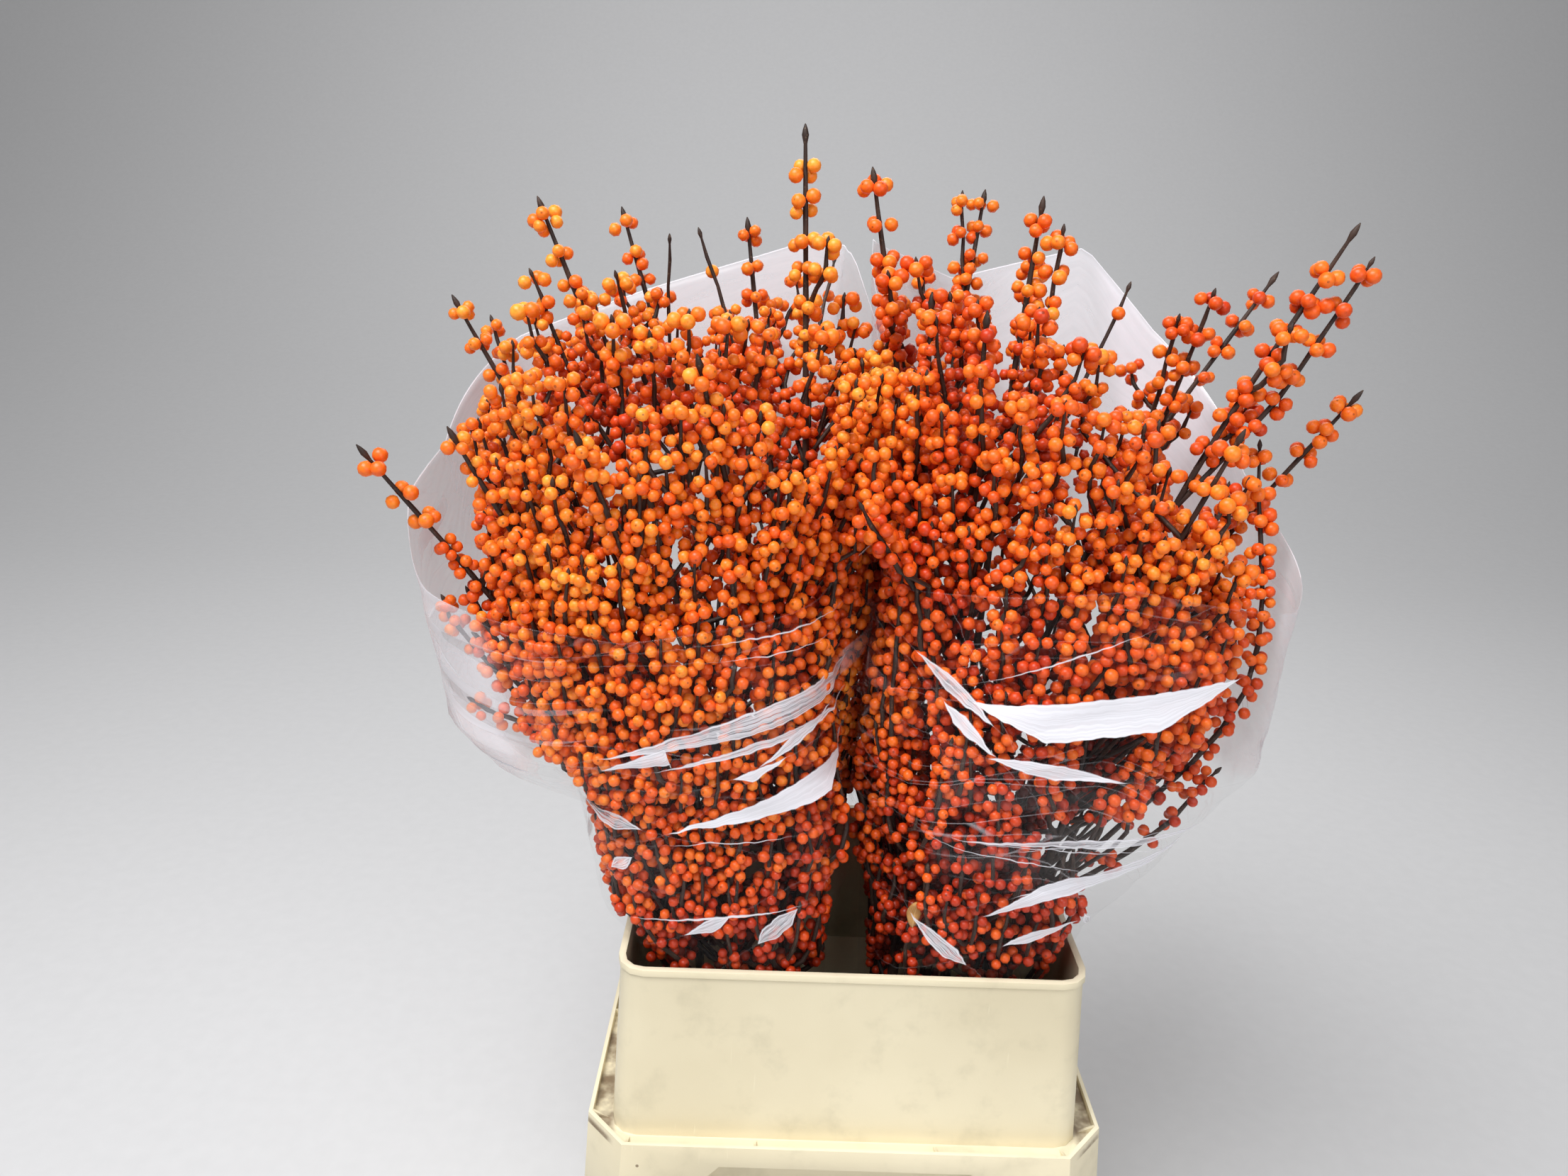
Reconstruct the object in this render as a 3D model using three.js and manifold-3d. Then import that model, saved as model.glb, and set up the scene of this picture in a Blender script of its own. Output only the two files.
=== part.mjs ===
// Cut winterberry branches with orange berries, in two clear film sleeves, in a bucket with a collar.
// Millimetres, +Z up. The origin is the middle of the bucket's underside, and the front faces -Y.

import * as THREE from "three";
import { mergeVertices } from "three/addons/utils/BufferGeometryUtils.js";
import Module from "manifold-3d";

const wasm = await Module();
wasm.setup();

const TAU = 2 * Math.PI;
const SEAT_GAP = 0.3; // between pieces that rest on or against each other
const CUT_PAST = 1; // how far a cut runs past what it cuts

// Bucket: a plain tapered tub with a flange round its rim
const TUB_BOTTOM = { length: 270, width: 200, corner: 24 };
const TUB_TOP = { length: 300, width: 230, corner: 17 };
const TUB_HEIGHT = 236.7;
const TUB_WALL = 3;
const TUB_FLOOR = 4;
const TUB_FLANGE = { length: 312, width: 242, corner: 23, thickness: 4 };

// Collar: a tapered wall, a ledge with an upstanding lip, ribs on the ledge, and a skirt
const COLLAR_BOTTOM = { length: 300, width: 230, corner: 17 };
const COLLAR_TOP = { length: 289, width: 219, corner: 16 };
const COLLAR_RIM_Z = 359;
const COLLAR_WALL = 3;
const RIM_BEAD = 1.3;
const RIM_BEAD_HEIGHT = 4;
const LEDGE = { length: 330, width: 260, cutLength: 25, cutWidth: 27 };
const CORNER_FOLLOW = 0.4; // how much of an inset the cut corners follow
const LEDGE_THICKNESS = 3;
const LEDGE_TOP_Z = 240;
const LIP_HEIGHT = 6;
const LIP_THICKNESS = 2.5;
const RIB_THICKNESS = 1.8;
const RIB_REACH = 11;
const RIB_BELOW_LIP = 0.5;
const RIB_ROOT = 1; // how deep a rib is sunk into the lip and the ledge
const FRONT_RIB_X = 57;
const SKIRT_BOTTOM_Z = 186;
const SKIRT_FLARE = 7;
const SKIRT_WALL = 3;
const HAND_HOLE = { length: 180, bottom: 198, top: 232, corner: 11 };

// Water
const WATER_TOP_Z = 90;
const WATER_SIDE_GAP = 0.6;
const STEM_HOLE_RADIUS = 5.6;
const STEM_HOLE_SIDES = 6;

// Film sleeves: one section for each height, from the middle plane outwards. The left sleeve
// hangs close over the rim and widens in a step, and the right one widens evenly
const FILM_THICKNESS = 0.8;
const FILM_SIDES = 20;
const FILM_SECTIONS = {
  left: [
    { z: 104, inner: 20, outer: 122, depth: 84, squareness: 4 },
    { z: COLLAR_RIM_Z, inner: 12, outer: 141.2, depth: 106.2, squareness: 4 },
    { z: 386, inner: 9, outer: 165, depth: 114, squareness: 3.8 },
    { z: 470, inner: 3, outer: 180, depth: 127, squareness: 3.4 },
    { z: 489, inner: 2, outer: 238, depth: 134, squareness: 3 },
    { z: 512, inner: 1.2, outer: 261, depth: 140, squareness: 2.8 },
    { z: 640, inner: 0.4, outer: 280, depth: 150, squareness: 2.8 },
    { z: 800, inner: 0.4, outer: 290, depth: 160, squareness: 2.7 },
  ],
  right: [
    { z: 104, inner: 20, outer: 122, depth: 84, squareness: 4 },
    { z: COLLAR_RIM_Z, inner: 12, outer: 141.2, depth: 106.2, squareness: 4 },
    { z: 390, inner: 8.5, outer: 155, depth: 114, squareness: 3.6 },
    { z: 430, inner: 5, outer: 193, depth: 124, squareness: 3.2 },
    { z: 464, inner: 3, outer: 219, depth: 132, squareness: 3 },
    { z: 500, inner: 1.2, outer: 249, depth: 140, squareness: 2.9 },
    { z: 640, inner: 0.4, outer: 258, depth: 150, squareness: 2.8 },
    { z: 800, inner: 0.4, outer: 264, depth: 160, squareness: 2.7 },
  ],
};
const FILM_FIXED_ROWS = 6;

// Height of each sleeve's top edge, by the angle round it: 0 outwards, 90 back, 180 middle, 270 front
const FILM_EDGE = {
  left: [
    [0, 645], [15, 652], [50, 715], [85, 750], [130, 790], [155, 780], [180, 640],
    [225, 600], [270, 582], [320, 596], [344, 634], [360, 645],
  ],
  right: [
    [0, 634], [20, 648], [60, 735], [80, 790], [115, 765], [150, 790], [180, 640],
    [225, 606], [270, 622], [315, 600], [345, 622], [360, 634],
  ],
};

// Branches: the place of each foot in its bunch's 3 by 3 layout, and the tip of its leader
const FOOT_MIDDLE_X = 64;
const FOOT_SPACING_X = 33;
const FOOT_SPACING_Y = 52;
const FOOT_Z = TUB_FLOOR + 2 * SEAT_GAP;
const BRANCHES = [
  { name: "branch_left_1", side: -1, column: 1, row: 0, tip: [-287, -90, 673] },
  { name: "branch_left_2", side: -1, column: 1, row: 0.9, tip: [-274, 60, 746] },
  { name: "branch_left_3", side: -1, column: 0, row: 0.25, tip: [-210, 30, 808] },
  { name: "branch_left_4", side: -1, column: 0, row: 1, tip: [-167, 90, 805] },
  { name: "branch_left_5", side: -1, column: -1, row: 0.9, tip: [-83, 75, 801] },
  { name: "branch_left_6", side: -1, column: -1, row: 0, tip: [-48, 0, 852] },
  { name: "branch_left_7", side: -1, column: 1, row: -0.9, tip: [-231, -110, 688] },
  { name: "branch_left_8", side: -1, column: 0, row: -1, tip: [-157, -150, 695] },
  { name: "branch_left_9", side: -1, column: -1, row: -0.9, tip: [-98, -140, 733] },
  { name: "branch_right_1", side: 1, column: -1, row: 0, tip: [-8, 0, 830] },
  { name: "branch_right_2", side: 1, column: -1, row: 0.9, tip: [73, 90, 824] },
  { name: "branch_right_3", side: 1, column: 0, row: 0.1, tip: [91, -10, 817] },
  { name: "branch_right_4", side: 1, column: 0, row: 1, tip: [262, 60, 779] },
  { name: "branch_right_5", side: 1, column: 1, row: 0, tip: [252, -60, 807] },
  { name: "branch_right_6", side: 1, column: 1, row: 0.9, tip: [285, -30, 715] },
  { name: "branch_right_7", side: 1, column: 1, row: -0.9, tip: [183, -120, 703] },
  { name: "branch_right_8", side: 1, column: -1, row: -0.9, tip: [25, -55, 763] },
  { name: "branch_right_9", side: 1, column: 0, row: -1, tip: [47, -110, 757] },
];
const STRAIGHT_TOP_Z = 100;
const STEM_STEPS = 5;
const STEM_FLARE = 2.2;
const STEM_WANDER = 5;
const STEM_RADIUS = { foot: 4.5, tip: 1.2 };
const BUD = { length: 11, neck: 1.1, belly: 2.1, bellyAt: 0.55, point: 0.4 };

// Side twigs lean out and then turn up
const TWIGS_PER_BRANCH = 3;
const LOWEST_TWIG_Z = 315;
const HIGHEST_TWIG_BELOW_TIP = 120;
const TWIG_LENGTH = { shortest: 150, longest: 230, shorterUpwards: 0.45, floor: 85 };
const TWIG_LEAN = { least: 24, most: 44 };
const TWIG_STEPS = 2;
const TWIG_BEND = { outPower: 1.9, riseEarly: 0.65 };
const TWIG_RADIUS = { root: 2, tip: 1.4 };
const CROWN = { fallY: 0.001, least: -15, most: 35 };

// Greatest height of the dense crown, from the far left to the far right
const CROWN_HEIGHTS = [
  [-265, 610], [-235, 705], [-190, 752], [-70, 758], [-25, 730], [0, 738],
  [15, 772], [80, 768], [145, 710], [180, 634], [262, 628],
];

// Berries stand out from a rod in whorls of three, each whorl turned half way on from the last
const ROD_SIDES = 6;
const BERRY_REACH = { least: 8.2, most: 9.6 }; // from the rod's middle line to a berry's outside
const BERRY_CLEFT = 4.8; // from the middle line to the cleft between two berries
const WHORL_STEP = 7;
const WHORL_NECK = 4.5; // from the last whorl to the bare rod
const TWIG_WHORLS = 6;
const LEADER_WHORLS = 2;
const LEADER_CLUSTER_PITCH = 78;
const LEADER_BARE_TIP = 24;
const LOWEST_BERRY_Z = 345;
const GOLDEN_TURN = 0.618034;

// Room kept round a twig's line, for its berries: to the film, and to the half way to a neighbour
const ROOM_TO_FILM = 17;
const ROOM_OVER_STEP = 34;
const HELD_ABOVE_EDGE = 50;
const ROOM_TO_NEIGHBOUR = 10.5;

// A repeatable row of random numbers
function makeDraw(seed) {
  let state = seed;
  const next = () => {
    state = (state * 1664525 + 1013904223) % 4294967296;
    return state / 4294967296;
  };
  const between = (low, high) => low + (high - low) * next();
  return { next, between };
}

// A closed solid from its corner points and triangles
function solidFrom(points, triangles) {
  const mesh = new wasm.Mesh({
    numProp: 3,
    vertProperties: Float32Array.from(points.flat()),
    triVerts: Uint32Array.from(triangles.flat()),
  });
  return new wasm.Manifold(mesh);
}

// A closed solid from a three.js geometry
function solidFromGeometry(geometry) {
  geometry.deleteAttribute("normal");
  geometry.deleteAttribute("uv");
  const merged = mergeVertices(geometry);
  const mesh = new wasm.Mesh({
    numProp: 3,
    vertProperties: Float32Array.from(merged.attributes.position.array),
    triVerts: Uint32Array.from(merged.index.array),
  });
  return new wasm.Manifold(mesh);
}

// The one main body of a joined solid, without hollows sealed inside it or loose scraps
function largestBody(solid) {
  return solid.decompose().reduce((best, body) => (body.volume() > best.volume() ? body : best));
}

// A three.js mesh from a solid
function meshFrom(name, solid, material) {
  const { vertProperties, triVerts } = solid.getMesh();
  const geometry = new THREE.BufferGeometry();
  geometry.setAttribute("position", new THREE.BufferAttribute(vertProperties, 3));
  geometry.setIndex(new THREE.BufferAttribute(triVerts, 1));
  geometry.computeVertexNormals();
  const mesh = new THREE.Mesh(geometry, new THREE.MeshStandardMaterial(material));
  mesh.name = name;
  return mesh;
}

// Triangles between two rings of the same count, the second one further along. Each four-cornered
// face is split from its first corner to the third, or between the other two where that is asked.
function wallTriangles(first, second, count, splitAcross = () => false) {
  const triangles = [];
  for (let i = 0; i < count; i += 1) {
    const j = (i + 1) % count;
    if (splitAcross(i)) {
      triangles.push([first + i, first + j, second + i], [first + j, second + j, second + i]);
    } else {
      triangles.push([first + i, first + j, second + j], [first + i, second + j, second + i]);
    }
  }
  return triangles;
}

// A solid through stacked rings, which run anticlockwise seen from above
function loft(rings, splitAcross = () => false) {
  const count = rings[0].length;
  const triangles = [];
  for (let k = 0; k + 1 < rings.length; k += 1) {
    triangles.push(...wallTriangles(k * count, (k + 1) * count, count, (i) => splitAcross(k, i)));
  }
  const top = (rings.length - 1) * count;
  for (let i = 1; i + 1 < count; i += 1) {
    triangles.push([0, i + 1, i], [top, top + i, top + i + 1]);
  }
  return solidFrom(rings.flat(), triangles);
}

// A rounded rectangle, four points to a corner
function roundedRing({ length, width, corner }, z, inset = 0) {
  const radius = corner - inset;
  const ring = [];
  for (let quarter = 0; quarter < 4; quarter += 1) {
    const middleX = (quarter === 0 || quarter === 3 ? 1 : -1) * (length / 2 - corner);
    const middleY = (quarter < 2 ? 1 : -1) * (width / 2 - corner);
    for (let step = 0; step < 4; step += 1) {
      const angle = ((quarter + step / 3) * Math.PI) / 2;
      ring.push([middleX + radius * Math.cos(angle), middleY + radius * Math.sin(angle), z]);
    }
  }
  return ring;
}

// A rectangle with cut corners
function cutRing({ length, width, cutLength, cutWidth }, z, inset = 0) {
  const x = length / 2 - inset;
  const y = width / 2 - inset;
  const shortX = x - cutLength + inset * CORNER_FOLLOW;
  const shortY = y - cutWidth + inset * CORNER_FOLLOW;
  return [
    [x, shortY, z], [shortX, y, z], [-shortX, y, z], [-x, shortY, z],
    [-x, -shortY, z], [-shortX, -y, z], [shortX, -y, z], [x, -shortY, z],
  ];
}

// The outline of a tapered piece at one height
function outlineAt(bottom, top, bottomZ, topZ, z) {
  const share = (z - bottomZ) / (topZ - bottomZ);
  const mix = (key) => bottom[key] + (top[key] - bottom[key]) * share;
  return { length: mix("length"), width: mix("width"), corner: mix("corner") };
}

const tubAt = (z) => outlineAt(TUB_BOTTOM, TUB_TOP, 0, TUB_HEIGHT, z);
const collarAt = (z) => outlineAt(COLLAR_BOTTOM, COLLAR_TOP, LEDGE_TOP_Z, COLLAR_RIM_Z, z);

function makeTub() {
  const outside = loft([roundedRing(tubAt(0), 0), roundedRing(tubAt(TUB_HEIGHT), TUB_HEIGHT)]);
  const flangeBottom = TUB_HEIGHT - TUB_FLANGE.thickness;
  const flange = loft([roundedRing(TUB_FLANGE, flangeBottom), roundedRing(TUB_FLANGE, TUB_HEIGHT)]);
  const above = TUB_HEIGHT + CUT_PAST;
  const inside = loft([
    roundedRing(tubAt(TUB_FLOOR), TUB_FLOOR, TUB_WALL),
    roundedRing(tubAt(above), above, TUB_WALL),
  ]);
  return outside.add(flange).subtract(inside);
}

// A three-cornered rib from the lip down to the ledge, standing at a point and facing inwards
function rib(x, y, inwardAngle) {
  const outline = new THREE.Shape();
  const top = LIP_HEIGHT - RIB_BELOW_LIP;
  outline.moveTo(-RIB_ROOT, -RIB_ROOT);
  outline.lineTo(RIB_REACH, -RIB_ROOT);
  outline.lineTo(RIB_REACH, 0);
  outline.lineTo(0, top);
  outline.lineTo(-RIB_ROOT, top);
  const geometry = new THREE.ExtrudeGeometry(outline, { depth: RIB_THICKNESS, bevelEnabled: false });
  geometry.translate(0, 0, -RIB_THICKNESS / 2);
  geometry.rotateX(Math.PI / 2);
  geometry.rotateZ(inwardAngle);
  geometry.translate(x, y, LEDGE_TOP_Z);
  return solidFromGeometry(geometry);
}

function makeRibs() {
  const x = LEDGE.length / 2 - LIP_THICKNESS;
  const y = LEDGE.width / 2 - LIP_THICKNESS;
  const cornerX = x - LEDGE.cutLength;
  const cornerY = y - LEDGE.cutWidth;
  const ribs = [rib(x, 0, Math.PI), rib(-x, 0, 0)];
  for (const front of [-1, 1]) {
    for (const right of [-1, 1]) {
      const inwardY = (-front * Math.PI) / 2;
      const inwardX = right > 0 ? Math.PI : 0;
      ribs.push(rib(right * FRONT_RIB_X, front * y, inwardY));
      ribs.push(rib(right * cornerX, front * y, inwardY));
      ribs.push(rib(right * x, front * cornerY, inwardX));
    }
  }
  return ribs;
}

// The hand-hole's outline, its upper corners cut, pushed through the skirt from front to back
function handHoleCut() {
  const { length, bottom, top, corner } = HAND_HOLE;
  const outline = new THREE.Shape();
  outline.moveTo(-length / 2, bottom);
  outline.lineTo(length / 2, bottom);
  outline.lineTo(length / 2, top - corner);
  outline.lineTo(length / 2 - corner, top);
  outline.lineTo(corner - length / 2, top);
  outline.lineTo(-length / 2, top - corner);
  const depth = LEDGE.width + 2 * SKIRT_FLARE;
  const geometry = new THREE.ExtrudeGeometry(outline, { depth, bevelEnabled: false });
  geometry.translate(0, 0, -depth / 2);
  geometry.rotateX(Math.PI / 2);
  return solidFromGeometry(geometry);
}

function makeCollar() {
  const skirtFoot = {
    ...LEDGE,
    length: LEDGE.length + SKIRT_FLARE,
    width: LEDGE.width + SKIRT_FLARE,
  };
  const lipTop = LEDGE_TOP_Z + LIP_HEIGHT;
  const ledgeBottom = LEDGE_TOP_Z - LEDGE_THICKNESS;
  const skirt = loft([cutRing(skirtFoot, SKIRT_BOTTOM_Z), cutRing(LEDGE, lipTop)]);
  const underside = loft([
    cutRing(skirtFoot, SKIRT_BOTTOM_Z - CUT_PAST, SKIRT_WALL),
    cutRing(LEDGE, ledgeBottom, SKIRT_WALL),
  ]);
  const channel = loft([
    cutRing(LEDGE, LEDGE_TOP_Z, LIP_THICKNESS),
    cutRing(LEDGE, lipTop + CUT_PAST, LIP_THICKNESS),
  ]);
  let ledge = skirt.subtract(channel).subtract(underside).subtract(handHoleCut());
  for (const piece of makeRibs()) {
    ledge = ledge.add(piece);
  }
  const beadBottom = COLLAR_RIM_Z - RIM_BEAD_HEIGHT;
  const wall = loft([
    roundedRing(collarAt(ledgeBottom), ledgeBottom),
    roundedRing(collarAt(beadBottom - RIM_BEAD), beadBottom - RIM_BEAD),
    roundedRing(collarAt(beadBottom), beadBottom, -RIM_BEAD),
    roundedRing(collarAt(COLLAR_RIM_Z), COLLAR_RIM_Z, -RIM_BEAD),
  ]);
  const below = ledgeBottom - CUT_PAST;
  const above = COLLAR_RIM_Z + CUT_PAST;
  const inside = loft([
    roundedRing(collarAt(below), below, COLLAR_WALL),
    roundedRing(collarAt(above), above, COLLAR_WALL),
  ]);
  return ledge.add(wall).subtract(inside);
}

const footX = (branch) => branch.side * (FOOT_MIDDLE_X + FOOT_SPACING_X * branch.column);
const footY = (branch) => FOOT_SPACING_Y * branch.row;

function makeWater() {
  const bottom = TUB_FLOOR + SEAT_GAP;
  const inset = TUB_WALL + WATER_SIDE_GAP;
  let water = loft([
    roundedRing(tubAt(bottom), bottom, inset),
    roundedRing(tubAt(WATER_TOP_Z), WATER_TOP_Z, inset),
  ]);
  const holeLength = WATER_TOP_Z - bottom + 2 * CUT_PAST;
  for (const branch of BRANCHES) {
    const hole = new THREE.CylinderGeometry(
      STEM_HOLE_RADIUS,
      STEM_HOLE_RADIUS,
      holeLength,
      STEM_HOLE_SIDES,
    );
    hole.rotateX(Math.PI / 2);
    hole.translate(footX(branch), footY(branch), (bottom + WATER_TOP_Z) / 2);
    water = water.subtract(solidFromGeometry(hole));
  }
  return water;
}

const filmSections = (side) => (side < 0 ? FILM_SECTIONS.left : FILM_SECTIONS.right);

// A sleeve's section at one height: how far it lies from the middle plane, and its half depth
function filmSectionAt(side, z) {
  const sections = filmSections(side);
  let upper = sections.findIndex((section) => z <= section.z);
  upper = upper < 0 ? sections.length - 1 : Math.max(upper, 1);
  const below = sections[upper - 1];
  const above = sections[upper];
  const share = Math.min(1, Math.max(0, (z - below.z) / (above.z - below.z)));
  const mix = (key) => below[key] + (above[key] - below[key]) * share;
  const inner = mix("inner");
  const outer = mix("outer");
  return {
    middle: (inner + outer) / 2,
    reach: (outer - inner) / 2,
    depth: mix("depth"),
    squareness: mix("squareness"),
  };
}

// Distance from the section's middle to the film, in one direction
function filmDistance(section, angle, inset = 0) {
  const alongX = Math.abs(Math.cos(angle) / (section.reach - inset)) ** section.squareness;
  const alongY = Math.abs(Math.sin(angle) / (section.depth - inset)) ** section.squareness;
  return (alongX + alongY) ** (-1 / section.squareness);
}

function filmEdgeHeight(side, angle) {
  const degrees = ((angle * 360) / TAU + 360) % 360;
  const edge = side < 0 ? FILM_EDGE.left : FILM_EDGE.right;
  const next = edge.findIndex((corner) => degrees <= corner[0]);
  if (next === 0) {
    return edge[0][1];
  }
  const [fromAngle, fromHeight] = edge[next - 1];
  const [toAngle, toHeight] = edge[next];
  return fromHeight + ((toHeight - fromHeight) * (degrees - fromAngle)) / (toAngle - fromAngle);
}

// Between its two edges the inner face stands higher on the outward side, as much as it stands
// further in, so that the wall keeps its thickness over the step
function filmPoint(side, angle, row, inset) {
  const edge = filmEdgeHeight(side, angle);
  const sections = filmSections(side);
  const lastFixed = sections[FILM_FIXED_ROWS - 1].z;
  let z = row < FILM_FIXED_ROWS ? sections[row].z : edge;
  if (row === FILM_FIXED_ROWS) {
    z = (lastFixed + edge) / 2;
  }
  const section = filmSectionAt(side, z);
  const distance = filmDistance(section, angle, inset);
  const rise = row > 0 && row <= FILM_FIXED_ROWS ? inset * Math.max(0, Math.cos(angle)) : 0;
  return [side * (section.middle + distance * Math.cos(angle)), distance * Math.sin(angle), z + rise];
}

// A sleeve is a thin wall: its outer face from the bottom edge up, then its inner face back down.
// The inner face runs the other way, so it is split across: then both bend along the same lines.
function makeFilm(side) {
  const points = [];
  const rows = FILM_FIXED_ROWS + 2;
  for (const [inset, order] of [[0, 1], [FILM_THICKNESS, -1]]) {
    for (let step = 0; step < rows; step += 1) {
      const row = order > 0 ? step : rows - 1 - step;
      for (let i = 0; i < FILM_SIDES; i += 1) {
        const turn = side > 0 ? i : FILM_SIDES - i;
        points.push(filmPoint(side, (turn / FILM_SIDES) * TAU, row, inset));
      }
    }
  }
  const triangles = [];
  for (let step = 0; step < 2 * rows; step += 1) {
    const next = (step + 1) % (2 * rows);
    const inner = () => step >= rows;
    triangles.push(...wallTriangles(step * FILM_SIDES, next * FILM_SIDES, FILM_SIDES, inner));
  }
  return solidFrom(points, triangles);
}

// Point on a line of points at one height
function pointAtHeight(points, z) {
  const next = points.findIndex((point) => z <= point.z);
  if (next < 0) {
    return points[points.length - 1].clone();
  }
  if (next === 0) {
    return points[0].clone();
  }
  const below = points[next - 1];
  const above = points[next];
  return below.clone().lerp(above, (z - below.z) / (above.z - below.z));
}

// Draws a point back inside a sleeve's outline
function holdInSection(side, section, point, room) {
  const x = side * point.x - section.middle;
  const limit = filmDistance(section, Math.atan2(point.y, x)) - room;
  const share = Math.min(1, limit / Math.hypot(x, point.y));
  return new THREE.Vector3(side * (section.middle + x * share), point.y * share, point.z);
}

// Draws a point back from its sleeve: from the wall beside it and from the step under it
function holdInFilm(side, point) {
  const overStep = holdInSection(side, filmSectionAt(side, point.z - ROOM_OVER_STEP), point, 0);
  return holdInSection(side, filmSectionAt(side, point.z), overStep, ROOM_TO_FILM);
}

function standsOverFilm(side, point) {
  const section = filmSectionAt(side, point.z);
  const angle = Math.atan2(point.y, side * point.x - section.middle);
  return point.z > filmEdgeHeight(side, angle) + HELD_ABOVE_EDGE;
}

// Draws a twig's point back to its own side of the half way to each neighbouring stem
function holdByStem(stems, own, point, room) {
  const start = pointAtHeight(stems[own], point.z);
  let share = 1;
  stems.forEach((other, index) => {
    if (index === own || point.z > other[other.length - 1].z + 2 * room) {
      return;
    }
    const towards = pointAtHeight(other, point.z).sub(start).setZ(0);
    const halfWay = towards.length() / 2 - room;
    const reached = (towards.x * (point.x - start.x) + towards.y * (point.y - start.y)) / towards.length();
    if (reached > halfWay) {
      share = Math.min(share, Math.max(0, halfWay / reached));
    }
  });
  return new THREE.Vector3(
    start.x + (point.x - start.x) * share,
    start.y + (point.y - start.y) * share,
    point.z,
  );
}

// A leader stands straight in the water, then flares out to its tip
function stemPoints(branch, draw) {
  const foot = new THREE.Vector3(footX(branch), footY(branch), STRAIGHT_TOP_Z);
  const tip = new THREE.Vector3(...branch.tip);
  const points = [foot.clone().setZ(FOOT_Z), foot];
  for (let k = 1; k <= STEM_STEPS; k += 1) {
    const share = k / STEM_STEPS;
    const flare = share ** STEM_FLARE;
    const wander = k < STEM_STEPS ? STEM_WANDER * Math.sin(Math.PI * share) : 0;
    const point = new THREE.Vector3(
      foot.x + (tip.x - foot.x) * flare + wander * draw.between(-1, 1),
      foot.y + (tip.y - foot.y) * flare + wander * draw.between(-1, 1),
      foot.z + (tip.z - foot.z) * share,
    );
    const free = k === STEM_STEPS || standsOverFilm(branch.side, point);
    points.push(free ? point : holdInFilm(branch.side, point));
  }
  return points;
}

// Greatest height of the dense crown above a place
function crownHeight(point) {
  const last = CROWN_HEIGHTS.length - 1;
  const next = CROWN_HEIGHTS.findIndex(([x]) => point.x <= x);
  const upper = next < 0 ? last : Math.max(next, 1);
  const [fromX, fromZ] = CROWN_HEIGHTS[upper - 1];
  const [toX, toZ] = CROWN_HEIGHTS[upper];
  const share = Math.min(1, Math.max(0, (point.x - fromX) / (toX - fromX)));
  return fromZ + (toZ - fromZ) * share - CROWN.fallY * point.y ** 2;
}

function twigPoints(stems, own, side, root, azimuth, length, lean) {
  const points = [root];
  for (let k = 1; k <= TWIG_STEPS; k += 1) {
    const share = k / TWIG_STEPS;
    const out = length * Math.sin(lean) * (1 - (1 - share) ** TWIG_BEND.outPower);
    const rise = TWIG_BEND.riseEarly * share + (1 - TWIG_BEND.riseEarly) * share ** 2;
    const up = length * Math.cos(lean) * rise;
    const free = new THREE.Vector3(
      root.x + Math.cos(azimuth) * out,
      root.y + Math.sin(azimuth) * out,
      root.z + up,
    );
    const held = holdByStem(stems, own, free, ROOM_TO_NEIGHBOUR);
    points.push(holdInFilm(side, held));
  }
  return points;
}

// Side twigs at even heights, each turned on by the golden angle
function growTwigs(stems, own, branch, draw) {
  const stem = stems[own];
  const highest = branch.tip[2] - HIGHEST_TWIG_BELOW_TIP;
  const twigs = [];
  let turn = draw.next();
  for (let k = 0; k < TWIGS_PER_BRANCH; k += 1) {
    const share = (k + 0.5 * draw.next()) / TWIGS_PER_BRANCH;
    const root = pointAtHeight(stem, LOWEST_TWIG_Z + (highest - LOWEST_TWIG_Z) * share);
    const lean = THREE.MathUtils.degToRad(draw.between(TWIG_LEAN.least, TWIG_LEAN.most));
    const full = draw.between(TWIG_LENGTH.shortest, TWIG_LENGTH.longest);
    const toCrown = (crownHeight(root) - root.z) / Math.cos(lean) + draw.between(CROWN.least, CROWN.most);
    const tapered = full * (1 - TWIG_LENGTH.shorterUpwards * share);
    const length = Math.min(tapered, Math.max(TWIG_LENGTH.floor, toCrown));
    turn = (turn + GOLDEN_TURN) % 1;
    twigs.push(twigPoints(stems, own, branch.side, root, turn * TAU, length, lean));
  }
  return twigs;
}

function lineLength(points) {
  return points.slice(1).reduce((sum, point, index) => sum + point.distanceTo(points[index]), 0);
}

// Point on a line at one distance from its start
function pointAlong(points, distance) {
  let passed = 0;
  for (let index = 1; index < points.length; index += 1) {
    const length = points[index].distanceTo(points[index - 1]);
    if (distance <= passed + length || index === points.length - 1) {
      return points[index - 1].clone().lerp(points[index], (distance - passed) / length);
    }
    passed += length;
  }
  return points[0].clone();
}

// Direction of a line about one distance, evened out over the bends
function directionAlong(points, distance) {
  const length = lineLength(points);
  const before = pointAlong(points, Math.max(0, distance - 2 * WHORL_STEP));
  const after = pointAlong(points, Math.min(length, distance + 2 * WHORL_STEP));
  return after.sub(before).normalize();
}

const isBerry = (station, i) => station.whorl !== undefined && (i + station.whorl) % 2 === 0;

// One ring of a rod: bare and round, or a whorl with every other corner drawn out to a berry
function rodRing(points, station, draw) {
  const middle = pointAlong(points, station.distance);
  const direction = directionAlong(points, station.distance);
  const first = new THREE.Vector3(1, 0, 0).addScaledVector(direction, -direction.x).normalize();
  const second = new THREE.Vector3().crossVectors(direction, first);
  const ring = [];
  for (let i = 0; i < ROD_SIDES; i += 1) {
    const angle = (i / ROD_SIDES) * TAU;
    let radius = station.radius;
    if (station.whorl !== undefined) {
      radius = isBerry(station, i) ? draw.between(BERRY_REACH.least, BERRY_REACH.most) : BERRY_CLEFT;
    }
    const corner = middle.clone();
    corner.addScaledVector(first, radius * Math.cos(angle));
    corner.addScaledVector(second, radius * Math.sin(angle));
    ring.push(corner.toArray());
  }
  return ring;
}

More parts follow.
